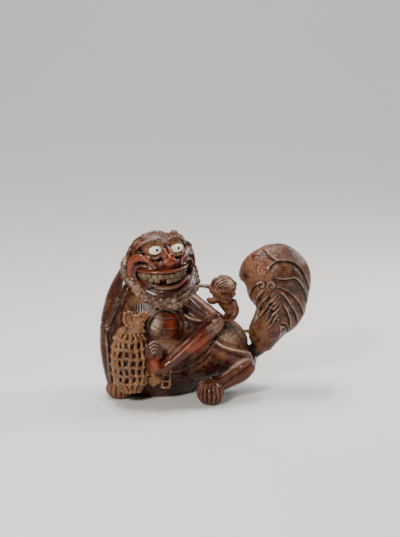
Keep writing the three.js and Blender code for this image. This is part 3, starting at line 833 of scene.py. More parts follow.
def head_shells():
    shells = [lump([0, 0, 0], [24, 21, 23.6], 48, 32), lump([0, -8, -1], [20.5, 14.6, 9.5], 40, 20),
              lump([0, -6, -15.5], [18.5, 14.5, 7.0], 40, 20)]
    upper = face_arc(21.7, 25.2, -3.9, -0.8, 9)
    lower = face_arc(20.4, 23.6, -14.6, -7.6, 9)
    shells += [carried(np.column_stack([arc, np.full(9, r)]), 14, 60, (0, 0, 1))
               for arc, r in ((upper, 1.75), (lower, 2.7))]
    for side in (-1, 1):
        roll = drawn_roll(CHEEK_ROLL, [1.2, 1.9, 2.4, 3.3, 3.5, 3.0, 2.5, 1.2], *CHEEK_EGG, -1.8)
        inner = drawn_roll([(139, 282), (134.6, 276), (135.4, 269), (140.4, 265.6), (147, 267)],
                           [1.0, 1.5, 1.7, 1.5, 1.0], *CHEEK_EGG, -0.6)
        roll, inner = ([[-s[0], *s[1:]] for s in line] for line in (roll, inner))
        brow = [[side * 3.6, -18.4, 18.4, 1.3], [side * 8.5, -17.4, 20.0, 1.8], [side * 14.5, -13.6, 18.2, 1.8],
                [side * 18.4, -9.0, 13.8, 1.2]]
        pouch = [[side * 5.0, -19.6, 8, 0.9], [side * 7.6, -20.6, 6.8, 1.2], [side * 11.6, -18.6, 7.2, 1.3],
                 [side * 15.4, -14.4, 10.4, 1.0]]
        ear = [[side * 22.2, -5.5, 13.5, 1.6], [side * (23.8 + 0.5 * side), -4.0, 9.4, 2.8],
               [side * 23.4, -2.5, 4.0, 1.4]]
        shells += [carried(mirrored(roll, side), 18, 44), carried(mirrored(inner, side), 14, 32),
                   carried(brow, 16, 30), carried(pouch, 12, 24), carried([s + [1.6] for s in ear], 14, 24)]
        shells.append(lump([side * 8.5, -15.4, 12.2], [6.6, 4.3, 5.6]))
        shells.append(lump([side * 5.6, -23.0, 3.4], [3.3, 3.4, 2.7]))
    shells.append(carried([[0, -18.5, 15.4, 2.0, 1.8], [0, -21.6, 12, 3.0, 2.8], [0, -24.4, 8, 4.6, 3.6],
                           [0, -26.0, 4.6, 5.8, 4.4], [0, -25.4, 2.8, 4.4, 3.4]], 24, 30))
    shells.append(lump([-0.2, -20.6, 17.2], [2.1, 2.4, 2.4], 20, 12))
    shells.append(lump([0, -10.5, -18.5], [13, 13, 5.5]))
    return shells


def curl_shells():
    """Snail curls: rings round the back and top of the head, a fringe over the brow, and the beard."""
    curls = []
    for back, count, size, hand in ((14, 3, 5.2, 1), (38, 7, 5.6, -1), (62, 10, 5.2, 1), (86, 13, 4.2, -1)):
        turn = (np.arange(count) + 0.5 * (hand > 0)) / count * 2 * np.pi
        b = np.radians(back)
        for a in turn:
            out = np.array([np.sin(b) * np.cos(a), np.cos(b), np.sin(b) * np.sin(a)])
            at = out * [23.4, 20.8, 23.0]
            if at[2] > -19:
                curls.append(snail(at, out, size, 0.42, 1.7, hand))
    for turn in np.radians([-50, -30, -10, 10, 30, 50]):
        out = np.array([np.sin(turn) * 0.66, -0.36, np.cos(turn) * 0.8])
        curls.append(snail(out / np.linalg.norm(out) * [23.0, 20.2, 22.4], out, 3.6, 0.28, 1.4, 1))
    for _, ring in ruff_rings():
        curls.append(carried(np.column_stack([ring * 0.9, np.full(len(ring), 3.2)]).tolist(), 16, 60, (0, 0, 1)))
    for at in ([17.5, -7, 17.5], [20.0, -5, 12.8], [14.0, -5.5, 21.0]):
        curls.append(snail(at, [at[0], -9, at[2]], 3.8, 0.6, 1.5, -1))
    for side in (-1, 1):
        for z, y in ((12, 2), (5, 4), (-2, 5), (-9, 4)):
            curls.append(snail([side * np.sqrt(max(1 - (z / 23.2) ** 2 - (y / 21) ** 2, 0)) * 23.4, y, z],
                               [side, 0.1, z / 40], 4.0, 0.42, 1.6, side))
    return curls


def ruff_rings():
    """Two ranks of places round the jaw, from temple to temple under the chin, in the head's own frame: the sine and
    cosine of a turn, with the depth eased forward under the chin."""
    for size, side, drop, forward, count in ((2.8, 27.2, 24.6, 29.5, 33), (2.5, 25.2, 21.4, 28.5, 31)):
        turn = np.radians(np.linspace(-112, 108, count))
        down = np.cos(turn)
        yield size, np.stack([side * np.sin(turn), -1 - forward * held(down), -3 - drop * down], 1)


def ruff_shells():
    """Small snail curls with one and a fifth turns, which turn by turns to the left and to the right."""
    rng = np.random.default_rng(17)
    shells = []
    for size, ring in ruff_rings():
        for i, at in enumerate(ring + rng.normal(0, 0.45, ring.shape)):
            shells.append(snail(at, at - [0, 8, -6] + rng.normal(0, 4, 3),
                                size * rng.uniform(0.85, 1.2) * (1.1 - 0.3 * i / len(ring)), rng.uniform(0.6, 0.95),
                                rng.uniform(0.9, 1.4), (-1) ** i, 24, 8))
    return shells


FACE_LINES = [
    # brows, pouches and the cuts round the mouth, as for the body
    ([(134, 251), (140, 244.5), (150, 241), (158, 242), (163, 247)], 1.3, 1.0),
    ([(137, 243), (147, 238.6), (157, 239), (163, 242.5)], 0.9, -0.8),
    ([(139, 239), (149, 235.4), (158, 236), (164, 239)], 1.1, 0.8),
    ([(172, 242.6), (177, 240.2), (183, 239.8), (189, 243.5), (191, 249)], 1.1, 0.5),
    ([(174, 238.6), (179, 237.2), (185, 237.2), (190, 240)], 0.9, -0.5),
    ([(147, 255.6), (152, 258.6), (158, 258), (162.5, 253.6)], 0.9, 0.5),
    ([(150, 281.8), (157, 282.6), (165, 283), (176, 281.6), (186, 277)], 0.7, -0.6),
    ([(126.4, 284), (126, 274), (126.8, 264), (129.6, 257), (135.5, 253.2), (143, 253.6), (150, 257.2)], 0.8, -1.0),
    ([(136.6, 283), (133.4, 273), (135.6, 265.4), (142, 262.6), (149, 265.6)], 0.8, -0.9),
]


def head_masks(local):
    """Colour of the face in the head's own frame."""
    x, y, z = local.T
    face = held(-y / 8 - 0.6)
    warm = 0.22 + 0.12 * ripple(local, 9.0, 21)
    worn = 0.34 + 0.25 * ripple(local, 7.0, 22)
    beard = held((np.hypot(x / 27, (z + 5) / 24) - 0.9) * 8) * held((8 - z) / 6)
    worn += 0.18 * beard
    warm += 0.3 * beard + 0.2 * np.sin(x * 0.9) * beard
    for side in (-1, 1):
        roll = np.array(drawn_roll(CHEEK_ROLL, [0] * 8, *CHEEK_EGG, -1.8))[:, :3]
        gap, _, along = line_gap(local * [-side, 1, 1], roll * 1.04)
        on_roll = held(1.5 * bell(gap / 2.9))
        warm += (0.75 - 0.25 * side) * on_roll * (0.55 + 0.65 * bell((along - 0.5) / 0.26))
        worn -= on_roll
    nose = held(2.2 * spot(local, (0.3, -25, 6), (5.6, 6, 7)))
    lips = ridge(local, face_arc(21.5, 25, -3.7, -0.8, 9), 2.4)
    lips = held(1.5 * (lips + ridge(local, face_arc(20.5, 23.2, -14, -7.6, 9), 3.0)))
    chin = spot(local, (0, -21, -18), (12, 8, 4.5))
    warm += 0.8 * nose + (0.7 + 0.2 * ripple(local, 6.0, 23)) * lips - 0.2 * chin
    worn -= 1.2 * nose + 1.1 * lips + 0.5 * chin
    eyes = spot(local, (-8.5, -18, 12.5), (8.5, 6, 7)) + spot(local, (8.5, -18, 12.5), (8.5, 6, 7))
    worn += 0.8 * eyes * face
    worn += 0.05 * held((z - 14) / 8)
    return warm, worn


class OBJECT_OT_lion_head(bpy.types.Operator):
    """Model the head with its rolled cheeks, nose, lips and curls"""
    bl_idname = "object.lion_head"
    bl_label = "Head"

    def execute(self, context):
        sizes = context.scene.lion_sizes
        obj = piece("lion_head", on_head(head_shells() + curl_shells()), root_finish())
        fuse(obj, sizes.head_skin * 1000, 2)
        points, normals = places(obj.data)
        local = in_head(points)
        below = local[:, 2] + 9.0 - 0.011 * local[:, 0] ** 2
        mouth = np.hypot(local[:, 0] / 19.5, below / (4.6 - 0.0048 * local[:, 0] ** 2))
        mouth = held(1.35 - mouth) * held((20.5 - np.abs(local[:, 0] + 1)) / 2)
        mouth *= held((-local[:, 1] - 6) / 4)
        face = held((-local[:, 1] - 9) / 4)
        drawn = drawing(points)
        lift = -0.3 * hair_strokes(local * 1.6, 3.0, 31) * (1 - face)
        for line, width, rise in FACE_LINES:
            lift += rise * ridge(drawn, line, width) * face
        for side in (-1, 1):
            away = np.hypot((local[:, 0] - side * 8.5) / 5.9, (local[:, 2] - 12.4) / 4.7)
            lift += face * (0.75 * bell((away - 1.1) / 0.16) - 0.8 * bell((away - 1.42) / 0.13))
            lift -= 1.6 * spot(local, (side * 18.6, -12.6, -6.0), (2.2, 5, 3.0))
            lift -= spot(local, (side * 3.4, -27, 1.6), (1.1, 2.4, 0.9))
        lift -= 2.6 * mouth
        move_to(obj.data, points + normals * lift[:, None])
        hollow = hollow_of(obj.data, 16)
        warm, worn = head_masks(local)
        back = held((local[:, 1] + 6) / 8)
        # Painted highlights: along the top of the cheek roll, on the chin, under the roll and at the tip of the nose.
        shine = 0.9 * ridge(drawn, [(133.6, 260), (139.6, 256.8), (146.4, 258.4)], 0.9)
        shine += spots(drawn, ((157, 290.5), (11, 3), 1.8), ((176, 288), (8, 3), 0.6), ((152, 266), (4, 3), 0.7),
                       ((164.6, 260.6), (2.4, 2.6), 0.9))
        shine *= face
        # The inside of the open mouth is darkened as painted shade.
        paint_relief(obj.data, hollow, 2.4, warm=warm, worn=worn + np.clip(hollow * 1.2, 0, 0.4), hollow=mouth * 0.9,
                     edge=shine, comb=0.35 * back + 0.15,
                     strand=local[:, 0] * 0.5 + local[:, 2] * 0.9 + ripple(local, 9.0, 4))
        ruff = piece("lion_ruff", on_head(ruff_shells()), root_finish())
        points, _ = places(ruff.data)
        sunk = hollow_of(ruff.data, 3)
        # Painted shade: the rim and base of each curl are darkened; the ruff's pale edge number is its own pale tint.
        rim = np.concatenate([np.repeat(np.linspace(0.02, 1, 8) ** 6, 24), np.ones(8 * 24), [0, 1]])
        tint = ripple(points, 9.0, 24)
        red = spot(drawing(points), (178, 298), (18, 7))
        paint_relief(ruff.data, sunk, 3.5, warm=0.45 + 0.2 * tint + 0.5 * red,
                     worn=0.5 + 0.3 * ripple(points, 6.0, 25) - 0.5 * red, comb=0,
                     hollow=0.6 * np.tile(rim, len(points) // len(rim)), edge=1.0 + 0.5 * tint - 0.3 * red, strand=0)
        return {"FINISHED"}


def block(at, radii, fullness, turn):
    """A rounded block: an egg whose sines and cosines are raised to the power `fullness`, sign kept."""
    def power(v):
        return np.sign(v) * np.abs(v) ** fullness

    rise = np.linspace(-88, 88, 14)[:, None] * np.pi / 180
    around_it = circle(24)[None, :] + 0.01
    grid = np.stack([power(np.cos(rise)) * power(np.cos(around_it)), power(np.cos(rise)) * power(np.sin(around_it)),
                     power(np.sin(rise)) + 0 * around_it], -1) * np.asarray(radii)
    c, s = np.cos(turn), np.sin(turn)
    return closed_shell(grid @ np.array([[c, s, 0], [-s, c, 0], [0, 0, 1]]) + np.asarray(at))


def tooth_shells():
    """Two rows of square teeth on the arc of the mouth, and the tongue that shows between them."""
    teeth = []
    for forward, side, rise, end, tall, count in ((23.0, 20.6, -6.9, -3.5, 2.1, 14),
                                                  (21.8, 19.8, -11.0, -6.2, 2.0, 13)):
        for i, (x, y, z) in enumerate(face_arc(side, forward, rise, end, count, 156)):
            turn = np.arctan2(x, -y)
            if -5.4 < x < -2.4:
                continue
            teeth.append(block([x * 0.95, y * 0.95, z], [2.15, 1.8, tall * (1.12 if i in (2, count - 3) else 1.0)],
                               0.42, turn))
    tongue = carried([[-5.4, -15, -9, 1.9, 3.2], [-5.0, -20.2, -8.8, 1.7, 3.0],
                      [-4.8, -21.6, -9.0, 1.2, 2.2]], 18, 18)
    return teeth, [tongue]


class OBJECT_OT_lion_teeth(bpy.types.Operator):
    """Set the two rows of teeth and the tongue in the open mouth"""
    bl_idname = "object.lion_teeth"
    bl_label = "Teeth"

    def execute(self, context):
        teeth, tongue = tooth_shells()
        obj = piece("lion_teeth", on_head(teeth), tooth_wood(context.scene.lion_colours))
        points, _ = places(obj.data)
        local = in_head(points)
        # Painted shade: the teeth darken towards the back of the mouth.
        reach = np.sqrt((local[:, 0] / 19.4) ** 2 + (local[:, 1] / 22.4) ** 2)
        paint(obj.data, hollow=held((0.985 - reach) * 12))
        obj = piece("lion_tongue", on_head(tongue), root_finish())
        points, _ = places(obj.data)
        flat = np.zeros(len(points))
        paint(obj.data, warm=flat + 0.8, worn=flat, hollow=flat, edge=flat, comb=flat, strand=flat)
        return {"FINISHED"}


def eye_shell(side):
    """A low dome in its socket: the height over an ellipse falls with the square of the distance from its middle."""
    r = np.linspace(0.02, 1, 12)[:, None]
    a = circle(40)[None, :]
    front = np.stack([4.85 * r * np.cos(a), -0.9 * (1 - r ** 2) + 0 * a, 3.2 * r * np.sin(a)], -1)
    back = np.stack([4.85 * r * np.cos(a), 2.2 + 0 * r * a, 3.2 * r * np.sin(a)], -1)[::-1]
    grid = np.concatenate([front, back]) + np.array([side * EYE_APART / 2 + 1.0, -EYE_FORWARD, EYE_UP - 0.4 * side])
    return closed_shell(grid)


class OBJECT_OT_lion_eyes(bpy.types.Operator):
    """Set the inlaid eyes with their pupils"""
    bl_idname = "object.lion_eyes"
    bl_label = "Eyes"

    def execute(self, context):
        bone, horn = inlaid_bone(context.scene.lion_colours), dark_horn()
        for side, name in ((-1, "right"), (1, "left")):
            piece("inlay_" + name, on_head([eye_shell(side)]), bone, ("eye_" + name,))
            peg = lump([side * EYE_APART / 2 + 1.8, -EYE_FORWARD - 0.55, EYE_UP + 0.1 - 0.4 * side],
                       [1.15, 0.8, 1.15], 24, 14)
            piece("peg_" + name, on_head([peg]), horn, ("pupil_" + name,))
        return {"FINISHED"}


# Mane on the back.

def lock_shells():
    """Fluted locks that hang down the neck and shoulders in three rows, each tapering to a tip that turns out."""
    locks = []
    for z, drop, count, spread, reach in ((92, 24, 5, 15, 21), (80, 27, 7, 22, 25), (66, 28, 7, 27, 29)):
        for i, share in enumerate(np.linspace(-1, 1, count)):
            sway = 2.2 if i % 2 else -2.2
            x = -37 + share * spread
            y = 4 + reach * np.sqrt(1 - 0.72 * share * share)
            locks.append(carried([[x, y - 3.5, z, 4.0, 3.0], [x - sway, y - 0.6, z - drop * 0.35, 4.2, 3.2],
                                  [x + sway * 0.6, y + 1.2, z - drop * 0.7, 3.2, 2.6],
                                  [x + sway * 1.4, y + 2.2, z - drop, 0.9, 1.1]], 24, 28, (0.2 * share, 1, 0), 0.7, 6,
                                 0.22, 0.5))
    for i, (x, y, z) in enumerate(((-56, -2, 88), (-59, 6, 84), (-58, 14, 80), (-17, 8, 86), (-15, 15, 80))):
        out = -1 if x < -40 else 1
        locks.append(carried([[x, y, z, 3.2, 2.6], [x + out * 3, y + 1, z - 9, 3.4, 2.6],
                              [x + out * 5.5, y + 1, z - 18, 2.4, 2.0], [x + out * 6, y, z - 25, 0.8, 0.8]], 20, 24,
                             (out, 0.2, 0), 0.7, 6, 0.2, 0.4))
    return locks


class OBJECT_OT_lion_mane(bpy.types.Operator):
    """Hang the locks of the mane down the back of the neck"""
    bl_idname = "object.lion_mane"
    bl_label = "Mane"

    def execute(self, context):
        obj = piece("lion_mane", lock_shells(), root_finish())
        fuse(obj, context.scene.lion_sizes.mane_skin * 1000, 2)
        points, _ = places(obj.data)
        hollow = hollow_of(obj.data, 6)
        paint_relief(obj.data, hollow, 3.2, warm=0.3 + 0.15 * ripple(points, 16.0, 6), comb=0.35,
                     worn=0.1 + 0.15 * ripple(points, 9.0, 7) + np.clip(hollow * 1.5, 0, 0.5),
                     strand=points[:, 0] + 0.2 * points[:, 1])
        return {"FINISHED"}


# Tail.

# The tail's outline on the front drawing: how far down, its left edge and its right edge.
TAIL_OUTLINE = [[351.5, 261, 264], [350, 257.5, 270], [345.5, 252.5, 274], [338, 249.5, 281], [332, 248.5, 288],
                [326, 249.5, 296], [320, 252, 300.5], [313, 255, 304.5], [307, 256, 306], [299, 250, 308],
                [293, 247.5, 309], [285, 245.5, 310.5], [277, 239.5, 311], [270, 239.5, 310], [262, 243, 306.5],
                [254.6, 249.5, 300.7], [249.5, 257.5, 294.5], [246, 265, 289], [244.2, 273, 284], [243.6, 277, 280]]
TAIL_SIDES = [at_depth([[row[side], row[0]] for row in TAIL_OUTLINE], TAIL_Y) for side in (1, 2)]
PLUME = np.stack([(TAIL_SIDES[0] + TAIL_SIDES[1])[:, 0] / 2, TAIL_SIDES[0][:, 2],
                  (TAIL_SIDES[1] - TAIL_SIDES[0])[:, 0] / 2], 1)


def plume_shell():
    """Level rings, one at each height: an ellipse whose middle and half width follow a smooth line through the
    outline, and whose depth is a share of its width."""
    x, z, half = smooth_line(PLUME, 110).T[:, :, None]
    turn = circle(84)[None, :]
    return closed_shell(np.stack([x + half * np.cos(turn), TAIL_Y + half * TAIL_DEPTH * np.sin(turn),
                                  z + 0 * turn], -1))


TAIL_EDGES = [
    # lapped edges on the front drawing, each with its upper lobe on the left as it runs
    [(269.5, 272), (271, 266), (277, 261), (286, 260.5), (294, 262), (301, 268), (306, 277), (309, 288), (309.5, 297)],
    [(271.5, 277), (279, 279.5), (288, 279.5), (295, 278.5), (301, 284), (305.5, 293), (307, 302), (306.5, 310)],
    [(274, 287), (282, 289), (290, 293.5), (297, 300.5), (302, 309), (303, 318)],
    [(278, 291.5), (285, 297.5), (291.5, 307), (296.5, 316), (297, 325)],
    [(282, 303), (287, 312), (290, 321), (289, 329)],
    [(280, 323.5), (286, 325), (288, 331), (284, 337), (279.5, 339)],
    [(257, 309), (251, 300), (250.5, 291), (257, 284.5), (264, 281)],
    [(257.5, 316), (256, 304), (259, 296), (266, 290)],
    [(257, 322), (259, 309), (264, 301), (271, 295)],
    [(252, 326), (259, 316), (265, 311), (271, 307)],
    [(262, 248), (267, 253.5), (272, 258), (278, 261.5)],
]
TAIL_CURLS = [((261.6, 285), 5.4), ((271.6, 285.4), 5.8), ((284, 329), 4.6), ((267, 254), 4.0)]


def drawn_curl(at, centre, size):
    """A flat snail curl on the front drawing: its rise, from a dome and one spiral groove, and the groove itself."""
    away = at - np.array(centre)
    r = np.hypot(away[:, 0], away[:, 1]) / size
    groove = 0.5 + 0.5 * np.cos(2 * np.pi * 1.3 * r + np.arctan2(away[:, 1], away[:, 0]))
    inside = held((1.06 - r) * 8)
    return (1.7 * np.sqrt(held(1.12 - r ** 2)) - 0.8 * groove) * inside, groove * inside


class OBJECT_OT_lion_tail(bpy.types.Operator):
    """Model the plume tail with its lapped crescent lobes and small curls"""
    bl_idname = "object.lion_tail"
    bl_label = "Tail"

    def execute(self, context):
        root = carried([[20, 14, 29, 9], [32, 16, 25, 6], [44, 15, 33, 6]], 24, 20)
        link = carried([[23, 4, 45.5, 1.6], [27, 6, 45.6, 1.2], [33, 8, 45, 1.6]], 14, 16)
        shells = [plume_shell(), root, link]
        obj = piece("lion_tail", shells, root_finish())
        fuse(obj, context.scene.lion_sizes.tail_skin * 1000, 4)
        points, normals = places(obj.data)
        drawn = drawing(points)
        flat = held(np.abs(normals[:, 1]) * 2.4 - 0.3)
        front = held(-normals[:, 1] * 2 + 0.3)
        mirror = drawing(points * [1, -1, 1] + [0, 2 * TAIL_Y, 0])
        seen = np.where((points[:, 1] < TAIL_Y)[:, None], drawn, mirror)
        lift = sum(lapped(seen, line, 1.0, 2.0, 5.0) for line in TAIL_EDGES) * flat
        outer = 1 / (1 + np.exp(-(seen[:, 0] - 272 + 0.12 * (seen[:, 1] - 290)) / 4))
        # Painted light on the lobes: a painted highlight along each lip and over the curls, and a painted shadow in
        # the cut under each lapped edge and in the grooves of the curls.
        phase, painted_rim_highlights, cuts = np.full(len(points), 16.0), np.zeros(len(points)), np.zeros(len(points))
        for line in TAIL_EDGES:
            gap, side, along = line_gap(seen, line)
            ends = held(np.minimum(along, 1 - along) * 8)
            painted_rim_highlights = np.maximum(painted_rim_highlights, bell(gap / 1.5) * (side < 0) * ends)
            deep = 0.7 if line[0][0] > 268 and line[0][1] > 262 else 0.3
            cuts = np.maximum(cuts, deep * bell(gap / 1.3) * (side > 0) * ends)
            phase = np.where((side < 0) & (gap < phase), gap, phase)
        strands = np.cos(2 * np.pi * phase / 1.7) * held((16 - phase) / 4)
        lift += 0.2 * strands * outer * flat
        knobs = 2.0 * np.clip(ripple(points, 4.2, 46), -0.5, 0.5) * spot(seen, (272, 310), (7, 17)) * flat
        lift += 0.9 * knobs
        rough = ripple(points, 4.4, 41) * ripple(points, 3.1, 42)
        lift -= 0.5 * np.clip(rough, -0.6, 1) * (1 - 0.9 * outer)
        for centre, size in TAIL_CURLS:
            rise, groove = drawn_curl(seen, centre, size)
            lift += rise * flat
            cuts, painted_rim_highlights = cuts + 0.6 * groove ** 3, painted_rim_highlights + 0.35 * rise
        move_to(obj.data, points + normals * lift[:, None])
        hollow = hollow_of(obj.data, 8)
        warm = 0.5 - 0.25 * outer + 0.25 * ripple(points, 16.0, 43)
        warm += front * spots(drawn, ((293, 297), (9, 6), 0.8), ((262, 268), (9, 9), 0.6), ((274, 310), (8, 13), 0.7),
                              ((282, 270), (5, 4), 0.5), ((272, 338), (6, 5), 0.4))
        worn = 0.68 - 0.55 * outer + 0.25 * ripple(points, 10.0, 44)
        worn += np.clip(hollow * 1.2, 0, 0.3)
        # Painted shade in the gap between the rump and the tail, and below the tail.
        painted_crevice_shade = held(1.6 * spot(drawn, (246, 348), (8, 9)) + 1.6 * spot(drawn, (264, 358), (14, 5)))
        worn -= 0.7 * spot(drawn, (262, 268), (7, 7)) * front
        fan = 17 * np.arctan2(seen[:, 1] - 284, seen[:, 0] - 292)
        # Painted highlight: uneven paleness over the front of the tail, and a spot at (292, 283).
        pale = held(0.3 + ripple(points, 7.0, 45)) * 0.35 * front + 0.3 * spot(drawn, (292, 283), (9, 4)) * front
        # The raised knobs are painted paler and the sunk ones darker: painted highlight and painted shade.
        paint_relief(obj.data, hollow, 2.6, warm=warm, worn=worn, comb=0.2 + 0.35 * outer,
                     strand=np.where(outer > 0.5, phase * 1.155, fan),
                     hollow=painted_crevice_shade + cuts * flat + np.clip(-knobs, 0, 0.6),
                     edge=pale + 1.2 * painted_rim_highlights * flat + np.clip(knobs, 0, 0.8))
        return {"FINISHED"}


# Net ball and ribbon.

def egg_point(turn, rise, swell=0.0):
    """A point of the ball: an egg with full shoulders. The half width at height sin(rise) is the 2.6th root of
    1 less the 2.6th power of that height."""
    up = np.sin(rise)
    across = np.maximum(1 - np.abs(up) ** 2.6, 0) ** (1 / 2.6)
    half = np.array(BALL_HALF) + swell
    return np.stack([BALL_AT[0] + half[0] * across * np.cos(turn), BALL_AT[1] + half[1] * across * np.sin(turn),
                     BALL_AT[2] + half[2] * up], -1)


def net_bar(path, outward, radius, closed=False):
    """A round bar carried along a path over the ball, flattened towards it."""
    tangent = unit(np.gradient(path, axis=0)) if not closed else unit(np.roll(path, -1, 0) - np.roll(path, 1, 0))
    side = unit(np.cross(outward, tangent))
    turn = circle(10)
    ring = (side[:, None] * np.cos(turn)[None, :, None] + outward[:, None] * 0.85 * np.sin(turn)[None, :, None])
    grid = path[:, None] + ring * np.asarray(radius)[:, None, None]
    if not closed:
        return closed_shell(grid)
    points = grid.reshape(-1, 3)
    rows, cols = grid.shape[:2]
    r, c = np.meshgrid(np.arange(rows), np.arange(cols), indexing="ij")
    quads = np.stack([r * cols + c, r * cols + (c + 1) % cols, (r + 1) % rows * cols + (c + 1) % cols,
                      (r + 1) % rows * cols + c], -1)
    quads = quads.reshape(-1, 4)
    p, q, s = (points[quads[:, k]] for k in (0, 1, 2))
    mean = points.reshape(rows, cols, 3).mean(1)
    out = ((p + s) / 2 - mean[quads[:, 0] // cols])
    if (np.cross(q - p, s - p) * out).sum() < 0:
        quads = quads[:, ::-1]
    return points, quads, np.zeros((0, 3), int)


def net_shells():
    """Upright and level bars, with a knot where they cross."""
    columns, rows = 16, 8
    bars = []
    heights = np.arcsin(np.linspace(-0.93, 0.93, rows))
    for k in range(columns):
        rise = np.linspace(-1.25, 1.25, 90)
        turn = k / columns * 2 * np.pi + 0.05 * np.sin(rise * 9 + k)
        path = egg_point(turn, rise)
        cross = np.abs(np.sin((np.sin(rise) / 0.93 + 1) / 2 * (rows - 1) * np.pi))
        bars.append(net_bar(path, unit(path - np.array(BALL_AT)), 1.45 + 0.35 * (1 - cross) ** 2))
    for number, rise in enumerate(heights):
        turn = circle(160)
        path = egg_point(turn, rise + 0.02 * np.sin(turn * 5 + number))
        knot = np.abs(np.sin(turn * columns / 2)) ** 0.7
        bars.append(net_bar(path, unit((path - np.array(BALL_AT)) * [1, 1, 0.5]), 1.35 + 0.5 * (1 - knot), True))
    for rise in heights[:-1]:
        for k in range(columns):
            at = egg_point(np.array([k / columns * 2 * np.pi]), np.array([rise]), 0.5)[0]
            bars.append(lump(at, [1.75, 1.75, 1.5], 10, 6))
    return bars


BOW = [
    # strands of the bow on the front drawing and their half width in mm
    ([(124.4, 322), (124.4, 315.4), (127.4, 312.4), (131, 313), (133.4, 316), (137.4, 316.2), (141, 313.2),
      (144.6, 312), (147.6, 314.4), (146.8, 318), (142.8, 318.8), (140, 320.8)], 0.95),
    ([(124.4, 322), (127, 325), (125.4, 328.4), (124.6, 331)], 1.0),
    ([(140, 320.8), (143, 324), (141.8, 327.6), (144, 331)], 1.15),
    ([(126.6, 317.6), (129.4, 316.4), (130.6, 319), (128.2, 320.6)], 0.8),
    ([(145, 316.4), (142.6, 315.2), (141, 317), (141.4, 319.4)], 0.7),
]


def ribbon_shells():
    """The gathered neck above the ball: a flared panel with a corded rim that curls over at both sides, and cords
    that run down to the net."""
    shells = []
    for marks, half in BOW:
        line = at_depth(smooth_line(marks, 3 * len(marks)), -35.4)
        beads = half * (1 + 0.22 * np.sin(np.arange(len(line)) * 1.9))
        shells.append(carried(np.column_stack([line, beads]).tolist(), 14, 4 * len(line)))
    for marks, wide, y in (([(133.6, 315.6), (133.6, 320), (134, 326), (134.4, 332)], [4.4, 4.6, 5.4, 6.4], -33.0),
                           ([(127.8, 313.8), (127.6, 317.6), (129, 322), (131, 327)], [2.2, 2.8, 3.2, 3.2], -33.6),
                           ([(143.8, 313.8), (143, 317.6), (140, 322), (137.4, 327)], [2.4, 2.9, 3.2, 3.2], -33.6)):
        line = at_depth(marks, y)
        stations = np.column_stack([line, wide, [1.2, 1.5, 1.8, 2.0]]).tolist()
        shells.append(carried(stations, 24, 20, FRONT, 0.7, 7, 0.12))
    return shells


def ladder_shells():
    """The ribbon's end beside the paw: a strip pierced by three square openings, and a leaf-like tuft."""
    shells = []
    tall, top = 15.0, 26.0
    for x in (-31.0, -25.4):
        shells.append(carried([[x, -26.4, top, 0.9], [x - 0.6, -26.8, top - tall / 2, 0.95],
                               [x - 1.2, -26.4, top - tall, 0.9]], 12, 20))
    for z in np.linspace(top, top - tall, 4):
        lean = (z - top) * 0.08
        shells.append(carried([[-31.0 + lean, -26.6, z, 0.8], [-28.2 + lean, -27.0, z, 0.8],
                               [-25.4 + lean, -26.6, z, 0.8]], 12, 12))
    for share in np.linspace(-1, 1, 7):
        leaf = [[-37 + share * 1.6, -26.5, 24 - abs(share), 0.9], [-37.4 + share * 4.4, -28.5, 18.5, 1.1],
                [-38.2 + share * 3.6, -28.0, 12.5 + abs(share) * 2.5, 0.7]]
        shells.append(carried(leaf, 12, 18))
    return shells


class OBJECT_OT_lion_ball(bpy.types.Operator):
    """Make the net ball, its inside in painted shade, its bow and the pierced end of the ribbon"""
    bl_idname = "object.lion_ball"
    bl_label = "Net ball and ribbon"

    def execute(self, context):
        rise = np.linspace(-1.5, 1.5, 40)[:, None]
        turn = circle(48)[None, :]
        # Painted shade: a near black egg fills the net, and a near black lump stands behind the openings of the
        # ribbon's pierced end.
        core = closed_shell(egg_point(turn + 0 * rise, rise + 0 * turn, -1.8))
        back = lump([-29.2, -20.6, 16.8], [5.4, 4.6, 7.6], 28, 16, 0.5)
        piece("ball_shade_core", above_ground([core, back]), shade_finish())
        net = piece("ball_net", above_ground(net_shells()), tan_finish())
        for obj in (net, piece("ball_ribbon", ribbon_shells() + above_ground(ladder_shells()), tan_finish())):
            points, _ = places(obj.data)
            inner = np.linalg.norm((points - np.array(BALL_AT)) / (np.array(BALL_HALF) + 0.6), axis=1)
            # Painted shade: bars that lie inside the ball are darker, and the knots darken where their shift sums
            # below 0.
            low = held((0.97 - inner) * 8) if obj is net else np.zeros(len(points))
            knots = np.stack([ripple(points, 2.6, seed) for seed in (61, 62, 63)], 1) * 0.28
            move_to(obj.data, points + knots)
            paint(obj.data, hollow=low * 0.7 + 0.35 * held(-knots.sum(1) * 1.5))
        return {"FINISHED"}


# Cub.

CUB_TURN = np.array(Euler(np.radians([18, 14, 28])).to_matrix())


CUB_STROKES = [
    # hair strokes, lips and teeth on the front drawing
    [(212, 289), (214, 283), (219, 278.5), (225, 277)], [(213.6, 291), (216.4, 284.6), (221.4, 280.6), (228, 279)],
    [(216, 291.6), (219, 286), (224, 282.4), (229.6, 281.4)], [(211.6, 286), (213.4, 281.4), (217.4, 277.6)],
    [(219.6, 290), (222, 286.6), (226, 284.6)], [(217, 289.4), (222.4, 293.2), (229, 293.4), (235, 290)],
    [(222, 294), (222.4, 296.4)], [(225, 294.6), (225.2, 297)],
    [(228, 294.8), (228.4, 297)], [(231, 294), (231.6, 296.4)],
]


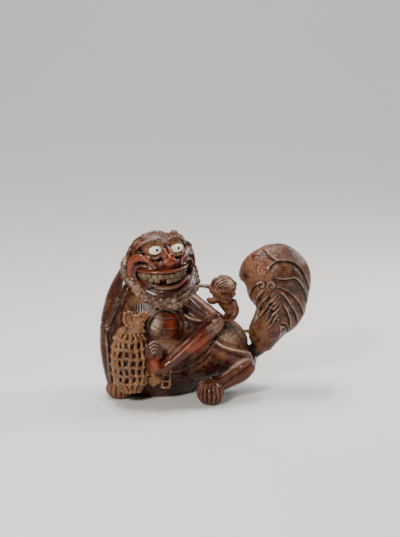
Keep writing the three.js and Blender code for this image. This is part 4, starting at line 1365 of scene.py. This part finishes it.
def cub_shells():
    x, y, z = CUB_AT
    head = [lump([0, 0, 0], [9.6, 9.0, 9.4]), lump([0.5, -6.2, -3.2], [6.6, 5.0, 3.6]),
            lump([0.5, -5.4, -6.4], [5.6, 4.6, 2.6]), lump([0.4, -10.6, -1.6], [2.2, 1.5, 1.5], 20, 12)]
    for side in (-1, 1):
        head.append(lump([side * 3.6, -8.0, 2.6], [2.1, 1.6, 1.8], 20, 12))
        head.append(carried([[side * 1.2, -8.6, 4.6, 0.8], [side * 4.0, -8.0, 5.6, 1.1],
                             [side * 7.0, -5.6, 4.0, 0.8]], 12, 18))
        head.append(carried([[side * 8.0, -3.6, -4.5, 1.0], [side * 8.2, -4.6, -1.0, 1.5],
                             [side * 5.4, -8.2, -0.4, 1.2]], 12, 18))
        head.append(lump([side * 8.6, 0.4, 4.2], [1.6, 2.4, 2.8], 18, 12))
    for back, count in ((20, 4), (52, 7), (84, 9)):
        b = np.radians(back)
        for a in np.arange(count) / count * 2 * np.pi:
            out = np.array([np.sin(b) * np.cos(a), np.cos(b), np.sin(b) * np.sin(a)])
            if out[2] > -0.75:
                head.append(snail(out * [9.5, 8.9, 9.3], out, 2.9, 0.4, 1.2, 1, 20, 8))
    for a in np.radians([-50, -18, 15, 48]):
        out = np.array([np.sin(a) * 0.75, -0.45, np.cos(a) * 0.85])
        head.append(snail(out / np.linalg.norm(out) * [9.4, 8.8, 9.2], out, 2.3, 0.4, 1.2, 1, 20, 8))
    shells = [(p @ CUB_TURN.T + np.array(CUB_AT), q, t) for p, q, t in head]
    shells.append(carried([[x - 1, y + 3, z - 5, 6.4, 6], [x + 3, y + 2, z - 12, 5.6, 5.6],
                           [x + 6, y + 1, z - 18, 4.2, 4.8]], 24, 24))
    limbs = [
        [[x - 4, y, z - 1, 2.4], [x - 12, y + 1, z + 1.4, 1.6], [x - 19, y + 2.5, z + 1.3, 1.4],
         [x - 25, y + 3.5, z + 1, 2.1]],
        [[x - 3, y - 2, z - 7, 3.2], [x - 8, y - 3, z - 9, 2.6], [x - 11, y - 3.5, z - 7.5, 1.8]],
        [[x + 7.4, y - 1, z - 10, 3.0], [x + 9.6, y - 2.5, z - 17, 2.6], [x + 6, y - 5, z - 22, 2.2],
         [x, y - 10, z - 21, 1.9], [x - 4, y - 14, z - 20, 2.4]],
        [[x + 7, y + 4, z - 16, 3.6], [x + 4, y + 7, z - 22, 3], [x + 1, y + 8, z - 27, 3]],
    ]
    return shells + [carried(line, 18, 30) for line in limbs]


class OBJECT_OT_lion_cub(bpy.types.Operator):
    """Model the cub that stands on the elbow and holds the mane"""
    bl_idname = "object.lion_cub"
    bl_label = "Cub"

    def execute(self, context):
        obj = piece("lion_cub", cub_shells(), root_finish())
        fuse(obj, context.scene.lion_sizes.cub_skin * 1000, 2)
        points, normals = places(obj.data)
        local = (points - np.array(CUB_AT)) @ CUB_TURN
        mouth = [[-6.4, -6.5, -3.2], [-4.0, -9.8, -4.8], [0.5, -11.2, -5.2], [5.0, -9.8, -4.8], [7.4, -6.5, -3.2]]
        cut = ridge(local, mouth, 0.9)
        lift = -1.1 * cut
        drawn = drawing(points)
        facing = held(-normals[:, 1] * 3)
        strokes = sum(ridge(drawn, line, 0.6) for line in CUB_STROKES) * facing
        lift -= 0.6 * strokes
        cut = held(cut + 1.1 * strokes)
        for side in (-1, 1):
            lift -= 0.7 * spot(local, (side * 3.6, -9.6, 2.4), (0.8, 1.6, 0.8))
        move_to(obj.data, points + normals * lift[:, None])
        hollow = hollow_of(obj.data, 8)
        head = held((12.5 - np.linalg.norm(local, axis=1)) / 2)
        warm = 0.45 + 0.1 * (1 - head) + 0.15 * ripple(points, 8.0, 51)
        warm += 0.5 * spot(drawn, (223, 292), (8, 5)) * facing
        worn = 0.6 * head + 0.15 + 0.2 * ripple(points, 5.0, 52)
        worn += spots(drawn, ((227, 306), (6, 5), 0.6), ((210, 299), (6, 6), 0.7))
        # Painted highlights on the head at (231, 283.6) and (220, 280); the other spots pale the arm, chin, back and
        # foot.
        pale = facing * spots(drawn, ((231, 283.6), (4, 4), 2.8), ((220, 280), (8, 5), 1.7),
                              ((203, 286), (7, 3), 0.9), ((212, 297), (5, 6), 0.9), ((236, 304), (3, 8), 1.2),
                              ((226, 313), (6, 2.5), 1.2))
        smooth = spot(local, (0.5, -10, -2), (5, 4, 3))
        # Painted shade in the cut of the mouth and the hair strokes.
        paint_relief(obj.data, hollow, 2.8, warm=warm + 0.2 * smooth, worn=worn - 0.4 * smooth, hollow=0.8 * cut,
                     edge=pale, comb=0.3 * head, strand=local[:, 0] * 1.4 + local[:, 2])
        return {"FINISHED"}


# Stage.

def soft_light(name, at, aim, size, power, colour=(1, 1, 1)):
    lamp = bpy.data.lights.new(name, "AREA")
    lamp.shape = "RECTANGLE"
    lamp.size, lamp.size_y = size
    lamp.energy = power
    lamp.color = colour
    obj = bpy.data.objects.new(name, lamp)
    bpy.context.scene.collection.objects.link(obj)
    away = np.asarray(at, float) - np.asarray(aim, float)
    flat = np.hypot(away[0], away[1])
    obj.location = at
    obj.rotation_euler = (np.arctan2(flat, away[2]), 0, np.arctan2(away[1], away[0]) + np.pi / 2)
    return obj


class OBJECT_OT_lion_stage(bpy.types.Operator):
    """Lay the pale floor, which sweeps up behind, and set the soft lights and the camera"""
    bl_idname = "object.lion_stage"
    bl_label = "Stage"

    def execute(self, context):
        stage = context.scene.lion_stage
        across = np.linspace(-6, 6, 25)
        bend = np.radians(np.linspace(0, 90, 24))
        deep = np.concatenate([[-4.0], 1.6 + 1.2 * np.sin(bend), [2.8]])
        high = np.concatenate([[0.0], 1.2 - 1.2 * np.cos(bend), [5.0]])
        grid = np.stack(np.broadcast_arrays(across[None, :], deep[:, None], high[:, None]), -1)
        rows, cols = grid.shape[:2]
        corner = np.arange(rows - 1)[:, None] * cols + np.arange(cols - 1)
        quads = np.stack([corner, corner + 1, corner + cols + 1, corner + cols], -1).reshape(-1, 4)
        mesh = bpy.data.meshes.new("floor")
        mesh.from_pydata(grid.reshape(-1, 3).tolist(), [], quads.tolist())
        mesh.shade_smooth()
        floor = bpy.data.objects.new("floor", mesh)
        context.scene.collection.objects.link(floor)
        mesh.materials.append(pale_floor(stage))
        middle = (0, 0, 0.06)
        soft_light("top softbox", (-0.12, 0.1, 0.75), middle, (0.26, 0.14), stage.key_power)
        soft_light("left softbox", (-0.34, -0.72, 0.54), middle, (0.16, 0.24), stage.fill_power, (1, 0.96, 0.9))
        soft_light("right softbox", (0.55, 0.3, 0.45), middle, (0.14, 0.36), stage.rim_power)
        soft_light("backdrop light", (0, 1.2, 2.4), (0, 1.7, 0), (3.0, 1.2), stage.backdrop_power)
        world = bpy.data.worlds.new("studio")
        world.use_nodes = True
        world.node_tree.nodes["Background"].inputs[0].default_value = (1, 1, 1, 1)
        world.node_tree.nodes["Background"].inputs[1].default_value = stage.surround
        context.scene.world = world
        camera = bpy.data.cameras.new("camera")
        camera.lens = 98.3
        camera.sensor_width = 36
        eye = bpy.data.objects.new("camera", camera)
        context.scene.collection.objects.link(eye)
        eye.location = (EYE + OFFSET) * 0.001
        eye.rotation_euler = (np.pi / 2 - TIP, 0, 0)
        context.scene.camera = eye
        return {"FINISHED"}


# Properties, panel and registration.

def colour_property(name, description, default):
    return FloatVectorProperty(name=name, description=description, default=default, subtype="COLOR", min=0, max=1)


def length_property(name, description, default):
    return FloatProperty(name=name, description=description, default=default, min=0.0002, max=0.004, unit="LENGTH")


def power_property(name, description, default):
    return FloatProperty(name=name, description=description, default=default, min=0, unit="POWER")


class LionSizes(bpy.types.PropertyGroup):
    body_skin: length_property("Body skin", "Width of the squares of the body's skin", 0.00075)
    head_skin: length_property("Head skin", "Width of the squares of the head's skin", 0.000455)
    mane_skin: length_property("Mane skin", "Width of the squares of the mane's skin", 0.0005)
    tail_skin: length_property("Tail skin", "Width of the squares of the tail's skin", 0.0005)
    cub_skin: length_property("Cub skin", "Width of the squares of the cub's skin", 0.00032)


class LionColours(bpy.types.PropertyGroup):
    dark: colour_property("Dark", "Polished wood in the shade of the carving", (0.02, 0.0048, 0.0038))
    warm: colour_property("Warm", "Polished wood where it is rubbed red", (0.105, 0.0135, 0.003))
    flame: colour_property("Flame", "The reddest polish, on the cheeks, nose and lips", (0.2, 0.03, 0.006))
    ochre: colour_property("Ochre", "Dull wood where the carving is cut", (0.17, 0.066, 0.022))
    dust: colour_property("Dust", "The bottom of the hair lines", (0.2, 0.105, 0.055))
    # Rubbed: pale wear and painted highlight on edges and ridges.
    rubbed: colour_property("Rubbed", "Edges rubbed pale", (0.24, 0.135, 0.095))
    # Mostly painted highlight, with the pale tint of the ruff and of the rump's short hair.
    pale_wear_and_highlight: colour_property("Cream", "The palest wear, where handling has taken the polish off", (0.42, 0.31, 0.23))
    # Real stains and pores, and painted shade in the hollows, the mouth and inside the net.
    deep: colour_property("Deep", "Hollows", (0.005, 0.002, 0.0016))
    tan: colour_property("Tan", "The net and its ribbon", (0.3, 0.14, 0.052))
    tan_dark: colour_property("Tan in shade", "Darker streaks of the net", (0.1, 0.034, 0.012))
    tooth: colour_property("Tooth", "Front of the teeth", (0.2, 0.135, 0.08))
    tooth_dark: colour_property("Tooth stain", "Stain on the teeth", (0.07, 0.034, 0.018))
    bone: colour_property("Bone", "Inlaid eyes", (0.95, 0.93, 0.78))
    bone_dark: colour_property("Bone shade", "Cloud in the bone", (0.9, 0.84, 0.62))


class LionStage(bpy.types.PropertyGroup):
    floor_colour: colour_property("Floor", "Colour of the floor", (0.72, 0.71, 0.69))
    key_power: power_property("Top light", "Power of the top softbox", 4.2)
    fill_power: power_property("Left light", "Power of the left softbox", 8.2)
    rim_power: power_property("Right light", "Power of the right softbox", 4.0)
    backdrop_power: power_property("Backdrop light", "Power of the light over the floor behind", 60.0)
    surround: FloatProperty(name="Surround", description="Brightness of the studio round the object", default=0.09,
                            min=0)


class VIEW3D_PT_lion(bpy.types.Panel):
    """Lists the pieces of the carving"""
    bl_label = "Bamboo root lion"
    bl_space_type = "VIEW_3D"
    bl_region_type = "UI"
    bl_category = "Lion"

    def draw(self, context):
        for group in (context.scene.lion_sizes, context.scene.lion_colours, context.scene.lion_stage):
            for name in group.__annotations__:
                self.layout.prop(group, name)
        for maker in MAKERS:
            self.layout.operator(maker.bl_idname)


MAKERS = (OBJECT_OT_lion_stage, OBJECT_OT_lion_body, OBJECT_OT_lion_paws, OBJECT_OT_lion_head, OBJECT_OT_lion_teeth,
          OBJECT_OT_lion_eyes, OBJECT_OT_lion_mane, OBJECT_OT_lion_tail, OBJECT_OT_lion_ball, OBJECT_OT_lion_cub)
CLASSES = (LionSizes, LionColours, LionStage, *MAKERS, VIEW3D_PT_lion)


def register():
    for cls in CLASSES:
        bpy.utils.register_class(cls)
    bpy.types.Scene.lion_sizes = PointerProperty(type=LionSizes)
    bpy.types.Scene.lion_colours = PointerProperty(type=LionColours)
    bpy.types.Scene.lion_stage = PointerProperty(type=LionStage)


def unregister():
    del bpy.types.Scene.lion_sizes
    del bpy.types.Scene.lion_colours
    del bpy.types.Scene.lion_stage
    for cls in reversed(CLASSES):
        bpy.utils.unregister_class(cls)


def main():
    register()
    for maker in MAKERS:
        group, name = maker.bl_idname.split(".")
        getattr(getattr(bpy.ops, group), name)()


if __name__ == "__main__":
    main()
